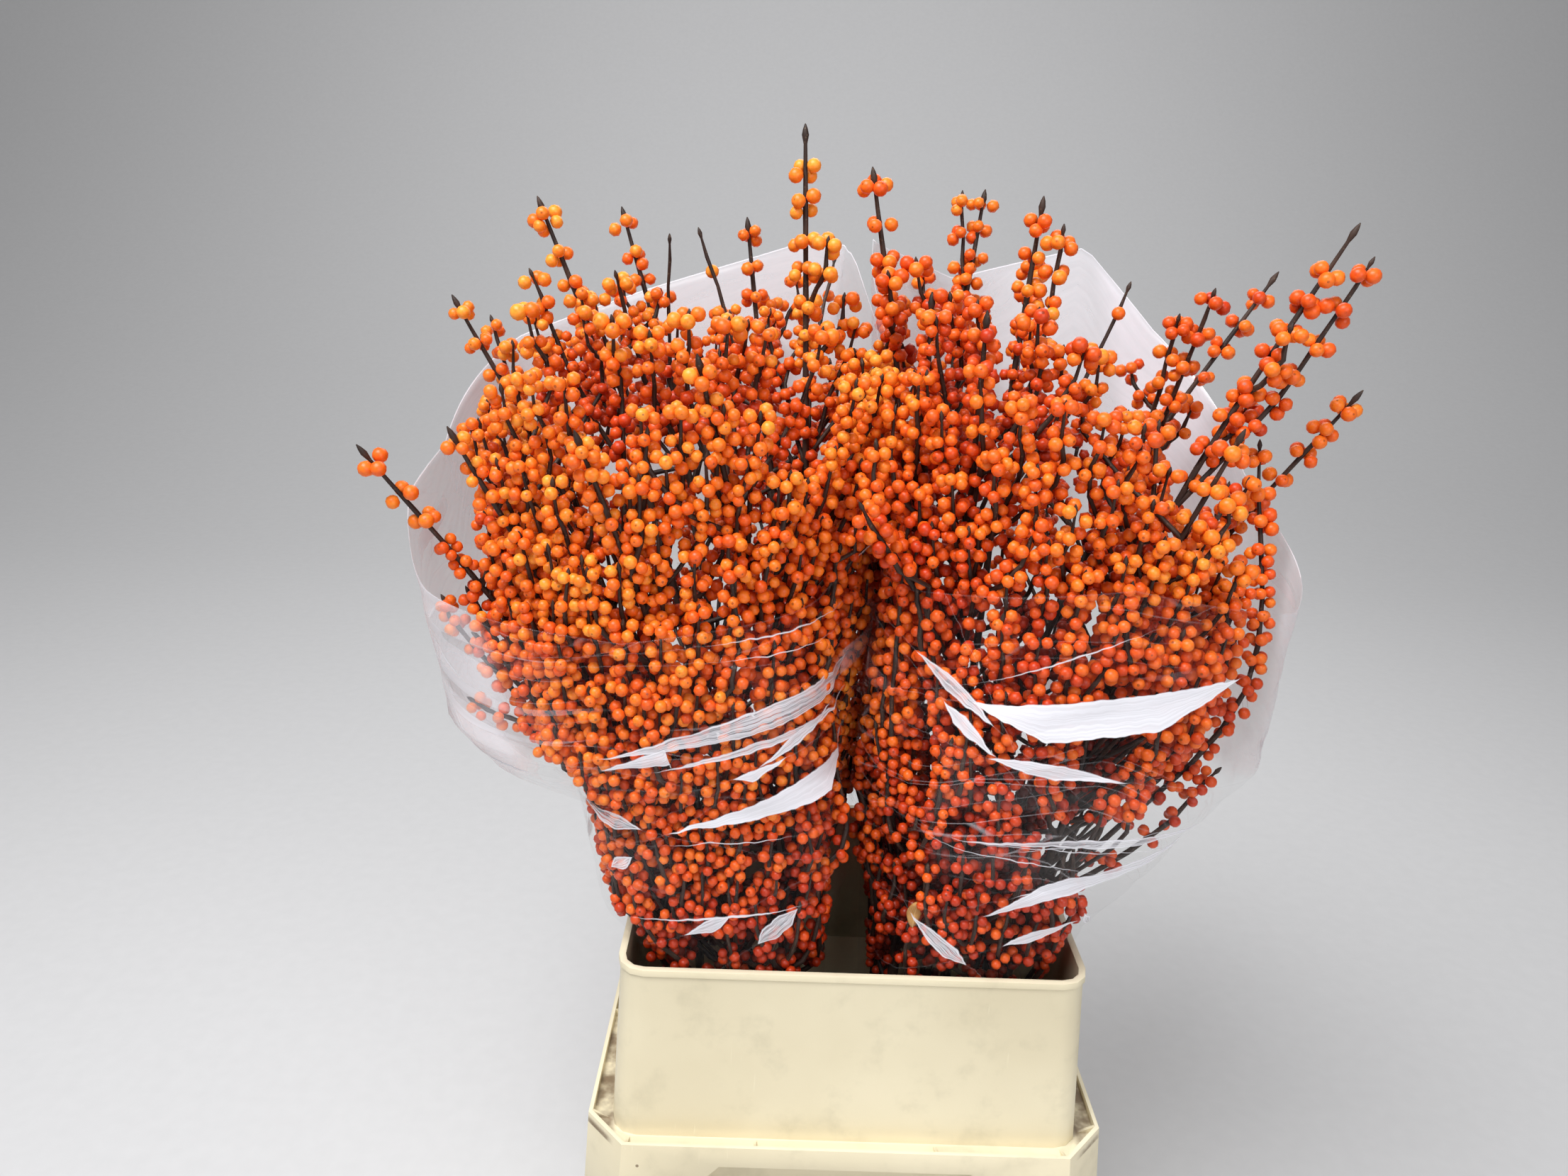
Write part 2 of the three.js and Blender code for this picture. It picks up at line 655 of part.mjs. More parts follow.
// A rod with its clusters of whorls; each cluster is given by where its last whorl stands
function makeRod(points, radiusAt, clusters, ends, draw) {
  const stations = [...ends];
  const taken = ends.map((end) => [end.distance - 1, end.distance + 1]);
  for (const { end, whorls } of clusters) {
    const start = end - (whorls - 1) * WHORL_STEP;
    for (let whorl = 0; whorl < whorls; whorl += 1) {
      stations.push({ distance: start + whorl * WHORL_STEP, whorl });
    }
    for (const distance of [start - WHORL_NECK, end + WHORL_NECK]) {
      stations.push({ distance, radius: radiusAt(distance) });
    }
    taken.push([start - 2 * WHORL_NECK, end + 2 * WHORL_NECK]);
  }
  let distance = 0;
  points.forEach((point, index) => {
    distance += index > 0 ? point.distanceTo(points[index - 1]) : 0;
    if (!taken.some(([from, to]) => distance > from && distance < to)) {
      stations.push({ distance, radius: radiusAt(distance) });
    }
  });
  stations.sort((one, other) => one.distance - other.distance);
  const rings = stations.map((station) => rodRing(points, station, draw));
  return loft(rings, (k, i) => isBerry(stations[k], i));
}

// A leader, thinner upwards, with short clusters of berries and a pointed bud
function makeLeader(points, draw) {
  const length = lineLength(points);
  const radiusAt = (distance) => {
    return STEM_RADIUS.foot + ((STEM_RADIUS.tip - STEM_RADIUS.foot) * distance) / length;
  };
  const bud = [
    { distance: length - BUD.length, radius: BUD.neck },
    { distance: length - BUD.bellyAt * BUD.length, radius: BUD.belly },
    { distance: length, radius: BUD.point },
  ];
  const clusters = [];
  let end = length - LEADER_BARE_TIP;
  while (pointAlong(points, end).z > LOWEST_BERRY_Z) {
    clusters.push({ end, whorls: LEADER_WHORLS });
    end -= LEADER_CLUSTER_PITCH;
  }
  return makeRod(points, radiusAt, clusters, bud, draw);
}

// A side twig, with one long cluster of berries out to its end
function makeTwig(points, draw) {
  const length = lineLength(points);
  const radiusAt = (distance) => {
    return TWIG_RADIUS.root + ((TWIG_RADIUS.tip - TWIG_RADIUS.root) * distance) / length;
  };
  const clusters = [{ end: length - WHORL_NECK, whorls: TWIG_WHORLS }];
  return makeRod(points, radiusAt, clusters, [], draw);
}

function makeBranch(stems, own, draw) {
  const twigs = growTwigs(stems, own, BRANCHES[own], draw);
  let solid = makeLeader(stems[own], draw);
  for (const twig of twigs) {
    solid = solid.add(makeTwig(twig, draw));
  }
  return largestBody(solid);
}

const IVORY = { color: 0xd9cfae, roughness: 0.5, metalness: 0 };
const WATER = { color: 0xa9b7a6, roughness: 0.05, metalness: 0, transparent: true, opacity: 0.55 };
const FILM = { color: 0xe9ecef, roughness: 0.08, metalness: 0, transparent: true, opacity: 0.25 };
const BERRY_ORANGE = { color: 0xd9541b, roughness: 0.35, metalness: 0, flatShading: true };

const arrangement = new THREE.Group();
arrangement.add(meshFrom("bucket", makeTub(), IVORY));
arrangement.add(meshFrom("collar", makeCollar(), IVORY));
arrangement.add(meshFrom("water", makeWater(), WATER));
arrangement.add(meshFrom("film_left", makeFilm(-1), FILM));
arrangement.add(meshFrom("film_right", makeFilm(1), FILM));

const draws = BRANCHES.map((branch, index) => makeDraw(97 + 7919 * (index + 1)));
const stems = BRANCHES.map((branch, index) => stemPoints(branch, draws[index]));
BRANCHES.forEach((branch, index) => {
  arrangement.add(meshFrom(branch.name, makeBranch(stems, index, draws[index]), BERRY_ORANGE));
});

export default arrangement;
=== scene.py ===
"""Cut winterberry branches in two clear film sleeves, standing in a bucket with a collar."""

import math

import bmesh
import bpy
from mathutils import Matrix, Vector, noise


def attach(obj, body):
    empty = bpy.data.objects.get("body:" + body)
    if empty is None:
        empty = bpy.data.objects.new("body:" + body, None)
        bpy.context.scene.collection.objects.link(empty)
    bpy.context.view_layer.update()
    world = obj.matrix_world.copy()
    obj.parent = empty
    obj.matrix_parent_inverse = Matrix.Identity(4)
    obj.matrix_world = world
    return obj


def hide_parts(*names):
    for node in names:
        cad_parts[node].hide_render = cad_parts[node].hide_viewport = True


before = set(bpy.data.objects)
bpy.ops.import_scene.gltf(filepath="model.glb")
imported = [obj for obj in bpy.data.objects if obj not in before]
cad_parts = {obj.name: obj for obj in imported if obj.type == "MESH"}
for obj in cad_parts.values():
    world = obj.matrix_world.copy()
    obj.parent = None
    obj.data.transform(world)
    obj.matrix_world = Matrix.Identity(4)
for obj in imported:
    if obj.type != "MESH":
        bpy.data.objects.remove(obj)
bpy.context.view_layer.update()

bl_info = {
    "name": "Winterberry Branches",
    "version": (1, 0, 0),
    "blender": (4, 5, 0),
    "location": "3D View > Sidebar > Winterberry",
    "description": "Wood, berries, film and finishes for cut winterberry branches in a bucket",
    "category": "Add Mesh",
}

MM = 0.001
TAU = math.tau
GOLDEN_TURN = 0.618034

# Film sleeves by side, in millimetres: height, inner and outer reach from the middle plane, half
# depth, squareness
FILM_SECTIONS = {
    -1: (
        (104, 20, 122, 84, 4),
        (359, 12, 141.2, 106.2, 4),
        (386, 9, 165, 114, 3.8),
        (470, 3, 180, 127, 3.4),
        (489, 2, 238, 134, 3),
        (512, 1.2, 261, 140, 2.8),
        (640, 0.4, 280, 150, 2.8),
        (800, 0.4, 290, 160, 2.7),
    ),
    1: (
        (104, 20, 122, 84, 4),
        (359, 12, 141.2, 106.2, 4),
        (390, 8.5, 155, 114, 3.6),
        (430, 5, 193, 124, 3.2),
        (464, 3, 219, 132, 3),
        (500, 1.2, 249, 140, 2.9),
        (640, 0.4, 258, 150, 2.8),
        (800, 0.4, 264, 160, 2.7),
    ),
}
# The dense mass of fruiting twigs stays inside these, which are laid out in the same way
MASS_SECTIONS = {
    -1: (
        (300, 14, 112, 84, 4.6),
        (359, 11, 136, 100, 5),
        (386, 8, 157, 107, 4.6),
        (470, 2, 171, 119, 3.2),
        (496, 1, 197, 127, 3),
        (560, -1, 208, 133, 2.8),
        (600, -4, 224, 135, 2.7),
        (680, -10, 238, 137, 2.5),
        (800, -10, 248, 137, 2.4),
    ),
    1: (
        (300, 14, 112, 84, 4.6),
        (359, 11, 136, 100, 5),
        (390, 7, 150, 108, 4.8),
        (430, 4, 160, 117, 3.8),
        (464, 2, 160, 123, 3),
        (500, 1, 198, 129, 2.9),
        (540, -1, 216, 133, 2.8),
        (640, -4, 224, 137, 2.6),
        (680, -10, 228, 137, 2.5),
        (800, -10, 238, 137, 2.4),
    ),
}
# Greatest height of the dense crown, from the far left to the far right
CROWN_HEIGHTS = (
    (-265, 610), (-235, 705), (-190, 752), (-70, 758), (-25, 730), (0, 738),
    (15, 772), (80, 768), (145, 710), (180, 634), (262, 628),
)
# Height of each sleeve's edge by the angle round it: 0 outwards, 90 back, 180 middle, 270 front
FILM_EDGE = {
    -1: (
        (0, 645), (15, 652), (50, 715), (85, 750), (130, 790), (155, 780), (180, 640),
        (225, 600), (270, 582), (320, 596), (344, 634), (360, 645),
    ),
    1: (
        (0, 634), (20, 648), (60, 735), (80, 790), (115, 765), (150, 790), (180, 640),
        (225, 606), (270, 622), (315, 600), (345, 622), (360, 634),
    ),
}

# The stems' feet, in millimetres: middle of a bunch's feet, their spacing across and front to back,
# their height over the underside, and the height up to which they stand straight
FOOT_MIDDLE_X = 64
FOOT_SPACING = (33, 52)
FOOT_Z = 4.6
STRAIGHT_TOP_Z = 100
STEM_STEPS = 5
# Branches: name, side, column and row of the foot, and tip
BRANCHES = (
    ("branch_left_1", -1, 1, 0, (-287, -90, 673)),
    ("branch_left_2", -1, 1, 0.9, (-274, 60, 746)),
    ("branch_left_3", -1, 0, 0.25, (-210, 30, 808)),
    ("branch_left_4", -1, 0, 1, (-167, 90, 805)),
    ("branch_left_5", -1, -1, 0.9, (-83, 75, 801)),
    ("branch_left_6", -1, -1, 0, (-48, 0, 852)),
    ("branch_left_7", -1, 1, -0.9, (-231, -110, 688)),
    ("branch_left_8", -1, 0, -1, (-157, -150, 695)),
    ("branch_left_9", -1, -1, -0.9, (-98, -140, 733)),
    ("branch_right_1", 1, -1, 0, (-8, 0, 830)),
    ("branch_right_2", 1, -1, 0.9, (73, 90, 824)),
    ("branch_right_3", 1, 0, 0.1, (91, -10, 817)),
    ("branch_right_4", 1, 0, 1, (262, 60, 779)),
    ("branch_right_5", 1, 1, 0, (252, -60, 807)),
    ("branch_right_6", 1, 1, 0.9, (285, -30, 715)),
    ("branch_right_7", 1, 1, -0.9, (183, -120, 703)),
    ("branch_right_8", 1, -1, -0.9, (25, -55, 763)),
    ("branch_right_9", 1, 0, -1, (47, -110, 757)),
)
# Side leaders that stand out of the mass: branch, fruit, height of the root, then the points after it
SIDE_LEADERS = (
    ("branch_left_4", "bare", 640, ((-130, 40, 789),)),
    ("branch_left_6", "sparse", 640, ((-109, 0, 793),)),
    ("branch_right_3", "sparse", 620, ((150, 0, 771),)),
    ("branch_right_4", "full", 600, ((201, 0, 769),)),
    ("branch_right_5", "full", 640, ((263, -60, 790),)),
    ("branch_right_7", "full", 560, ((158, -60, 698),)),
    ("branch_left_3", "full", 620, ((-212, 10, 766),)),
    ("branch_left_2", "full", 590, ((-257, 90, 732),)),
    ("branch_right_7", "full", 380, ((152, -60, 425), (232, -60, 536), (229, -30, 684))),
    ("branch_right_7", "full", 385, ((171, -70, 429), (232, -70, 486))),
    ("branch_left_7", "full", 455, ((-198, -60, 486), (-210, -60, 514), (-248, -55, 558), (-258, -50, 576))),
    ("branch_left_7", "full", 462, ((-206, -62, 496), (-227, -60, 504), (-243, -58, 513))),
    ("branch_left_1", "full", 500, ((-208, -60, 530), (-226, -62, 560), (-240, -60, 585))),
    ("branch_left_1", "full", 490, ((-206, -50, 520), (-224, -56, 541), (-238, -60, 556))),
    ("branch_left_7", "full", 470, ((-204, -66, 520), (-220, -70, 552), (-234, -66, 574))),
    ("branch_left_9", "full", 420, ((-34, -80, 500), (-16, -84, 590), (-12, -90, 640))),
    ("branch_left_9", "full", 440, ((-30, -40, 510), (-10, -44, 600), (-8, -40, 660))),
    ("branch_right_8", "full", 400, ((16, -80, 480), (14, -90, 570), (16, -96, 640))),
    ("branch_right_8", "full", 420, ((10, -40, 500), (8, -50, 590), (6, -56, 670))),
    ("branch_right_9", "full", 560, ((0, -110, 640), (-6, -112, 690))),
    ("branch_right_9", "full", 540, ((-15, -140, 662),)),
    ("branch_right_4", "full", 610, ((185, 10, 753),)),
    ("branch_right_3", "full", 660, ((102, -20, 802),)),
    ("branch_right_2", "full", 690, ((58, 90, 823),)),
    ("branch_left_6", "sparse", 650, ((-24, 90, 779),)),
    ("branch_left_4", "full", 640, ((-163, 30, 766),)),
    ("branch_left_5", "full", 610, ((-94, 90, 741),)),
)


# The crown falls off to the front and the back by this, times the square of y
CROWN_FALL = 0.001

# How strongly the leaders flare, how far they wander, how far over the film's edge they are free,
# and the room that they keep from the wall of the film and from the step under them
STEM_FLARE = 2.2
STEM_WANDER = 5
STEM_FREE_HEIGHT = 50
STEM_ROOM = (17, 34)

# The face on which the two sleeves press on each other sways from side to side: how far from the
# middle plane it is felt, its sway, the further sway low down, and the wave's measure in y and z
CONTACT_REACH = 80
CONTACT_SWAY = 8
CONTACT_SWAY_LOW = 4
CONTACT_WAVE = (17, 60)

# Twigs and berries over the film's edge by this are free. Below, they keep more room over a step in
# the film, and less in the flat patch where the sleeves touch: its reach in x and y, and the gain
FREE_HEIGHT = 12
STEP_ROOM = 3
FLAT_PATCH = (40, 100)
FLAT_PATCH_GAIN = 3.5

# Twigs: number of points, how far they waver and zigzag, and the room to the mass and to the film
TWIG_STEPS = 5
TWIG_WAVER = 2.5
TWIG_KINK = 0.9
MASS_ROOM = 3
TWIG_ROOM = 9
# The height at which a branch's outward side is judged, and the middle of its sleeve there
OUTWARD_Z = 520
SLEEVE_MIDDLE_X = 112
# Short low twigs: lowest root and the heights they take up, their lengths and leans in degrees
SPUR_LOWEST = 322
SPUR_SPAN = 150
SPUR_LENGTH = (48, 92)
SPUR_LEAN = (42, 66)
# Side twigs: lowest root, how far below the tip they end, and their leans in degrees
TWIG_LOWEST = 300
TWIG_BELOW_TIP = 70
TWIG_LEAN = (28, 56)

# Outermost twigs: how far inside the mass their ends stand, with the first inset in rows up its
# side and the others in one ring each on the crown, and how much thinner they stand at the back
COVER_SEED = 4021
COVER_INSETS = (2, 30, 60)
COVER_LOWEST = 424
COVER_ROWS = 9
COVER_RING_Z = 700
COVER_THIN_BACK = 1.7
# Their roots: lowest, and how far below the end. Their bends: how far inwards and down from the end
COVER_ROOT_LOWEST = 335
COVER_ROOT_DROP = (90, 125)
COVER_BENDS = ((15, 46), (4, 20))
COVER_CROSSING_SKIPPED = 0.6

# The open corner of the right sleeve: where its place is taken from, how far out it begins, and the
# heights between which it lies at its front
OPEN_CORNER_Y = -110
OPEN_CORNER_X = 104
OPEN_CORNER_Z = (420, 470)

# Radii of the wood at its foot and its tip, in millimetres, the bud's profile from its foot to its
# point (share of its length and radius), and how far before its tip a stem gives way to the bud
ROD_RADII = {"leader": (4.5, 1.2), "twig": (1.9, 1.0), "full": (1.9, 1.1), "cover": (1.6, 1.0)}
BUD_PROFILE = ((1, 1.1), (0.82, 1.5), (0.55, 2.1), (0.25, 1.4), (0, 0.35))
BUD_CLEARANCE = 11.5
PORE_COLOUR = (0.17, 0.11, 0.065)

# Berries: turn from one to the next in radians, room to the film beyond their radius, growth of
# those out of sight, how far the film may push one before it is left out, the height under which
# clusters are sparser, and how far back berries get fewer faces
BERRY_TURN = 2.4
BERRY_ROOM = 5
HIDDEN_GAIN = 1.15
MOST_HELD_BACK = 5
LOW_CLUSTERS_BELOW = 470
BACK_BERRIES_Y = 60

# Film: height of its foot, and how deep its ridges, its broad waves and its loose edge's flutes are
FILM_FOOT_Z = 104
RIDGE_DEPTH = 2.6
BROAD_DEPTH = 2.2
FLUTTER_DEPTH = 2.5

# Leaf: place of its stalk in millimetres, and its thickness in metres
LEAF_STALK = Vector((37, -99, 405))
LEAF_THICKNESS = 0.0003


def start_clean():
    """Leaves nothing selected, so that the next operator acts on its own piece alone."""
    if bpy.context.object is not None and bpy.context.object.mode != "OBJECT":
        bpy.ops.object.mode_set(mode="OBJECT")
    bpy.ops.object.select_all(action="DESELECT")
    bpy.context.view_layer.objects.active = None


def make_active(obj):
    """Makes one object the only one that the next operator acts on."""
    start_clean()
    obj.select_set(True)
    bpy.context.view_layer.objects.active = obj


def place_in_frame(obj, name, nodes=()):
    """Names a finished piece, seats it on the part's one body and hides the CAD nodes that it stands for."""
    make_active(obj)
    bpy.ops.object.transform_apply(location=True, rotation=True, scale=True)
    obj.name = name
    obj.data.name = name
    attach(obj, "root")
    if nodes:
        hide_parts(*nodes)


def select_edges(obj, wanted):
    """Selects a mesh's edges by their place, in edit mode."""
    bpy.ops.mesh.select_all(action="DESELECT")
    shape = bmesh.from_edit_mesh(obj.data)
    for edge in shape.edges:
        edge.select = wanted(edge)
    bmesh.update_edit_mesh(obj.data)


class Draw:
    """A repeatable row of random numbers."""

    def __init__(self, seed):
        self.state = seed

    def next(self):
        self.state = (self.state * 1664525 + 1013904223) % 4294967296
        return self.state / 4294967296

    def between(self, low, high):
        return low + (high - low) * self.next()


def climb(value, start, end):
    """0 at the start, 1 at the end and even between, whichever of the two is the higher."""
    return min(1, max(0, (value - start) / (end - start)))


def between_rows(rows, place):
    """A table's values at one place, even between its rows."""
    upper = max(1, next((i for i, row in enumerate(rows) if place <= row[0]), len(rows) - 1))
    below, above = rows[upper - 1], rows[upper]
    share = climb(place, below[0], above[0])
    return [a + (b - a) * share for a, b in zip(below[1:], above[1:])]


def section_at(sections, side, z):
    """A sleeve's or mass's section at one height: middle, half width, half depth and squareness."""
    inner, outer, depth, squareness = between_rows(sections[side], z)
    return (inner + outer) / 2, (outer - inner) / 2, depth, squareness


def section_distance(section, angle, inset=0):
    """Distance from a section's middle to its outline, in one direction."""
    _, reach, depth, power = section
    along_x = abs(math.cos(angle) / (reach - inset)) ** power
    along_y = abs(math.sin(angle) / (depth - inset)) ** power
    return (along_x + along_y) ** (-1 / power)


def edge_height(side, angle):
    """Height of a sleeve's edge in one direction."""
    return between_rows(FILM_EDGE[side], math.degrees(angle) % 360)[0]


def hold_inside(sections, side, point, room, drop=0):
    """Draws a point back inside a sleeve's or mass's outline, as that is a drop further down."""
    section = section_at(sections, side, point.z - drop)
    x = side * point.x - section[0]
    limit = section_distance(section, math.atan2(point.y, x)) - room
    share = min(1, limit / max(1e-6, math.hypot(x, point.y)))
    return Vector((side * (section[0] + x * share), point.y * share, point.z))


def height_over_film(side, point):
    """How far a point stands over its sleeve's edge."""
    section = section_at(FILM_SECTIONS, side, point.z)
    return point.z - edge_height(side, math.atan2(point.y, side * point.x - section[0]))


def hold_in_film(side, point, room, room_over_step):
    """Draws a point back from its sleeve: from the step under it and from the wall beside it."""
    over_step = hold_inside(FILM_SECTIONS, side, point, 0, room_over_step)
    return hold_inside(FILM_SECTIONS, side, over_step, room)


def point_at_height(line, z):
    """Point on a line at one height."""
    for below, above in zip(line, line[1:]):
        if z <= above.z:
            return below.lerp(above, (z - below.z) / (above.z - below.z))
    return line[-1].copy()


def crown_height(point):
    """Greatest height of the dense crown above a place. It falls off to the front and the back."""
    return between_rows(CROWN_HEIGHTS, point.x)[0] - CROWN_FALL * point.y**2


def stem_points(branch, draw):
    """A leader stands straight in the water, then flares out to its tip."""
    _, side, column, row, tip = branch
    foot_x = side * (FOOT_MIDDLE_X + FOOT_SPACING[0] * column)
    foot = Vector((foot_x, FOOT_SPACING[1] * row, STRAIGHT_TOP_Z))
    tip = Vector(tip)
    points = [Vector((foot.x, foot.y, FOOT_Z)), foot]
    for k in range(1, STEM_STEPS + 1):
        share = k / STEM_STEPS
        flare = share**STEM_FLARE
        wander = STEM_WANDER * math.sin(math.pi * share) if k < STEM_STEPS else 0
        x = foot.x + (tip.x - foot.x) * flare + wander * draw.between(-1, 1)
        y = foot.y + (tip.y - foot.y) * flare + wander * draw.between(-1, 1)
        point = Vector((x, y, foot.z + (tip.z - foot.z) * share))
        free = k == STEM_STEPS or height_over_film(side, point) > STEM_FREE_HEIGHT
        points.append(point if free else hold_in_film(side, point, *STEM_ROOM))
    return points


def smooth_line(points, per_span, straight_first=False):
    """A smooth line through the points, with its first span straight where asked."""
    line = [points[0].copy()]
    start = 0
    if straight_first:
        line.append(points[1].copy())
        start = 1
    padded = [2 * points[0] - points[1], *points, 2 * points[-1] - points[-2]]
    for k in range(start, len(points) - 1):
        a, b, c, d = padded[k : k + 4]
        for step in range(1, per_span + 1):
            t = step / per_span
            square, cube = 2 * a - 5 * b + 4 * c - d, 3 * b - a - 3 * c + d
            line.append(0.5 * (2 * b + (c - a) * t + square * t**2 + cube * t**3))
    return line


def kinked(line, size, draw):
    """The small zigzag that a twig makes from one bud to the next."""
    bent = [line[0]]
    for i, point in enumerate(line[1:-1], start=1):
        sway = Vector((draw.between(-1, 1), draw.between(-1, 1), 0))
        bent.append(point + sway * size * (1 if i % 2 else -1))
    return bent + [line[-1]]


def contact_sway(point):
    """Sideways sway of everything near the face where the two sleeves press on each other."""
    nearness = max(0, 1 - abs(point.x) / CONTACT_REACH) * climb(point.z, 375, 410)
    most = CONTACT_SWAY + CONTACT_SWAY_LOW * climb(point.z, 500, 440)
    wave = math.sin(point.y / CONTACT_WAVE[0] + point.z / CONTACT_WAVE[1])
    return Vector((most * nearness * wave, 0, 0))


def inside_sleeve(side, point, room):
    """Draws a point back from the film, unless it stands over the film's edge."""
    if height_over_film(side, point) > FREE_HEIGHT:
        return point
    # The film lies flat where the two sleeves touch, so less room is needed there
    if side * point.x < FLAT_PATCH[0] and abs(point.y) < FLAT_PATCH[1]:
        wall_room = room - FLAT_PATCH_GAIN
    else:
        wall_room = room
    sway = contact_sway(point)
    return hold_in_film(side, point - sway, wall_room, room + STEP_ROOM) + sway


def twig_points(side, root, azimuth, length, lean, draw):
    """A twig leans out of its stem and turns upwards, inside the mass and the film."""
    points = [root]
    for k in range(1, TWIG_STEPS + 1):
        share = k / TWIG_STEPS
        out = length * math.sin(lean) * (1 - (1 - share) ** 1.9)
        rise = length * math.cos(lean) * (0.65 * share + 0.35 * share**2)
        waver = TWIG_WAVER * share
        x = math.cos(azimuth) * out + waver * draw.between(-1, 1)
        y = math.sin(azimuth) * out + waver * draw.between(-1, 1)
        point = root + Vector((x, y, rise))
        sway = contact_sway(point)
        held = hold_inside(MASS_SECTIONS, side, point - sway, MASS_ROOM) + sway
        points.append(inside_sleeve(side, held, TWIG_ROOM))
    return points


def cover_targets(side, settings, draw):
    """Places all over the outside of the dense mass, and in rings on its crown, where twigs end."""
    step_round, step_up = (step / MM for step in settings.cover_step)
    for inset in COVER_INSETS:
        on_side = inset == COVER_INSETS[0]
        for row in range(COVER_ROWS if on_side else 1):
            z = COVER_LOWEST + step_up * row if on_side else COVER_RING_Z
            section = section_at(MASS_SECTIONS, side, z)
            angle = draw.next()
            last = angle + TAU
            while angle < last:
                behind = math.sin(angle) > 0.3
                reach = section_distance(section, angle, inset)
                angle += step_round * (COVER_THIN_BACK if behind else 1) / reach
                x, y = section[0] + reach * math.cos(angle), reach * math.sin(angle)
                target = Vector((side * x, y, z + draw.between(-14, 14)))
                highest = crown_height(target) + draw.between(-14, 10)
                if not on_side:
                    target.z = highest
                if target.z <= highest and not in_open_corner(side, target):
                    yield target + contact_sway(target)


def add_cover(grown, settings):
    """Grows a twig to each place on the outside of the mass, from the stem nearest to it."""
    for side in (-1, 1):
        draw = Draw(COVER_SEED + side)
        own = [(lines[0][1], lines) for _, owner_side, lines, _ in grown if owner_side == side]
        for target in cover_targets(side, settings, draw):
            root_z = max(COVER_ROOT_LOWEST, target.z - draw.between(*COVER_ROOT_DROP))
            stems = [(point_at_height(stem, root_z), lines) for stem, lines in own]
            root, lines = min(stems, key=lambda stem: (stem[0].xy - target.xy).length + 8 * draw.next())
            middle_x = side * section_at(MASS_SECTIONS, side, target.z)[0]
            inwards = Vector((middle_x - target.x, -target.y, 0)).normalized()
            bends = [target + inwards * back - Vector((0, 0, down)) for back, down in COVER_BENDS]
            line = smooth_line([root, *bends, target], 2)
            crossing = any(in_open_corner(side, point) for point in line)
            if crossing and draw.next() < COVER_CROSSING_SKIPPED:
                continue
            lines.append(("cover", [root, *(inside_sleeve(side, point, TWIG_ROOM) for point in line[1:])]))


def grow(settings):
    """Every branch as its lines, in millimetres: (kind, points) with the leader first."""
    grown = []
    spread = math.radians(settings.twig_spread)
    for index, branch in enumerate(BRANCHES):
        draw = Draw(97 + 7919 * (index + 1))
        name, side, _, _, tip = branch
        stem = smooth_line(stem_points(branch, draw), 6, straight_first=True)
        middle = point_at_height(stem, OUTWARD_Z)
        outward = math.atan2(middle.y, middle.x - side * SLEEVE_MIDDLE_X)
        lines = [("leader", stem)]
        for k in range(settings.spurs):
            root = point_at_height(stem, SPUR_LOWEST + SPUR_SPAN * (k + draw.next()) / settings.spurs)
            azimuth = outward + (k * GOLDEN_TURN % 1 - 0.5) * spread
            length, lean = draw.between(*SPUR_LENGTH), math.radians(draw.between(*SPUR_LEAN))
            lines.append(("twig", smooth_line(twig_points(side, root, azimuth, length, lean, draw), 1)))
        turn = draw.next()
        highest = tip[2] - TWIG_BELOW_TIP
        for k in range(settings.twigs):
            share = ((k + 0.5 * draw.next()) / settings.twigs) ** 1.15
            root = point_at_height(stem, TWIG_LOWEST + (highest - TWIG_LOWEST) * share)
            turn = (turn + GOLDEN_TURN) % 1
            azimuth = outward + (turn - 0.5) * spread
            full = draw.between(settings.twig_shortest, settings.twig_longest) / MM
            lean = math.radians(draw.between(*TWIG_LEAN))
            to_crown = (crown_height(root) - root.z) / math.cos(lean) + draw.between(-12, 22)
            length = min(full * (1 - 0.45 * share), max(50, to_crown))
            lines.append(("twig", smooth_line(twig_points(side, root, azimuth, length, lean, draw), 2)))
        for owner, fruit, root_z, points in SIDE_LEADERS:
            if owner == name:
                root = point_at_height(stem, root_z)
                ends = [Vector(point) for point in points]
                if len(ends) == 1:
                    ends.insert(0, root.lerp(ends[0], 0.5) + Vector((side * 5, 0, -6)))
                line = [inside_sleeve(side, point, TWIG_ROOM) for point in smooth_line([root, *ends], 5)]
                lines.append((fruit, [root, *line[1:]]))
        grown.append((name, side, lines, draw))
    add_cover(grown, settings)
    return grown


def line_length(line):
    """Length of a line through all its points."""
    return sum((b - a).length for a, b in zip(line, line[1:]))


def along(line, distance):
    """The point at one distance along a line, and the line's direction there."""
    passed = 0
    for a, b in zip(line, line[1:]):
        length = (b - a).length
        if distance <= passed + length:
            return a.lerp(b, (distance - passed) / length), (b - a) / length
        passed += length
    return line[-1], (line[-1] - line[-2]).normalized()


class Room:
    """Keeps berries from growing into each other."""

    cell = 10
    # Two berries may press together until their middles are this share of their radii apart
    closest = 0.82

    def __init__(self):
        self.taken = {}

    def fits(self, centre, radius):
        x, y, z = (int(c // self.cell) for c in centre)
        for i in (x - 1, x, x + 1):
            for j in (y - 1, y, y + 1):
                for k in (z - 1, z, z + 1):
                    for other, reach in self.taken.get((i, j, k), ()):
                        if (other - centre).length < self.closest * (reach + radius):
                            return False
        self.taken.setdefault((x, y, z), []).append((centre, radius))
        return True


def across(direction):
    """Two directions square to a line."""
    aside = Vector((1, 0, 0)) if abs(direction.z) > 0.9 else Vector((0, 0, 1))
    first = direction.cross(aside).normalized()
    return first, direction.cross(first)


# Fruit by kind of shoot: the share of its length that is bare, and its bare tip in millimetres
FRUIT = {"leader": (0.34, 11), "twig": (0.04, 3), "cover": (0.4, 2), "full": (0.1, 8), "sparse": (0.2, 20)}
BARE_TIPS = {"branch_left_6": 25, "branch_right_5": 25, "branch_right_4": 16}
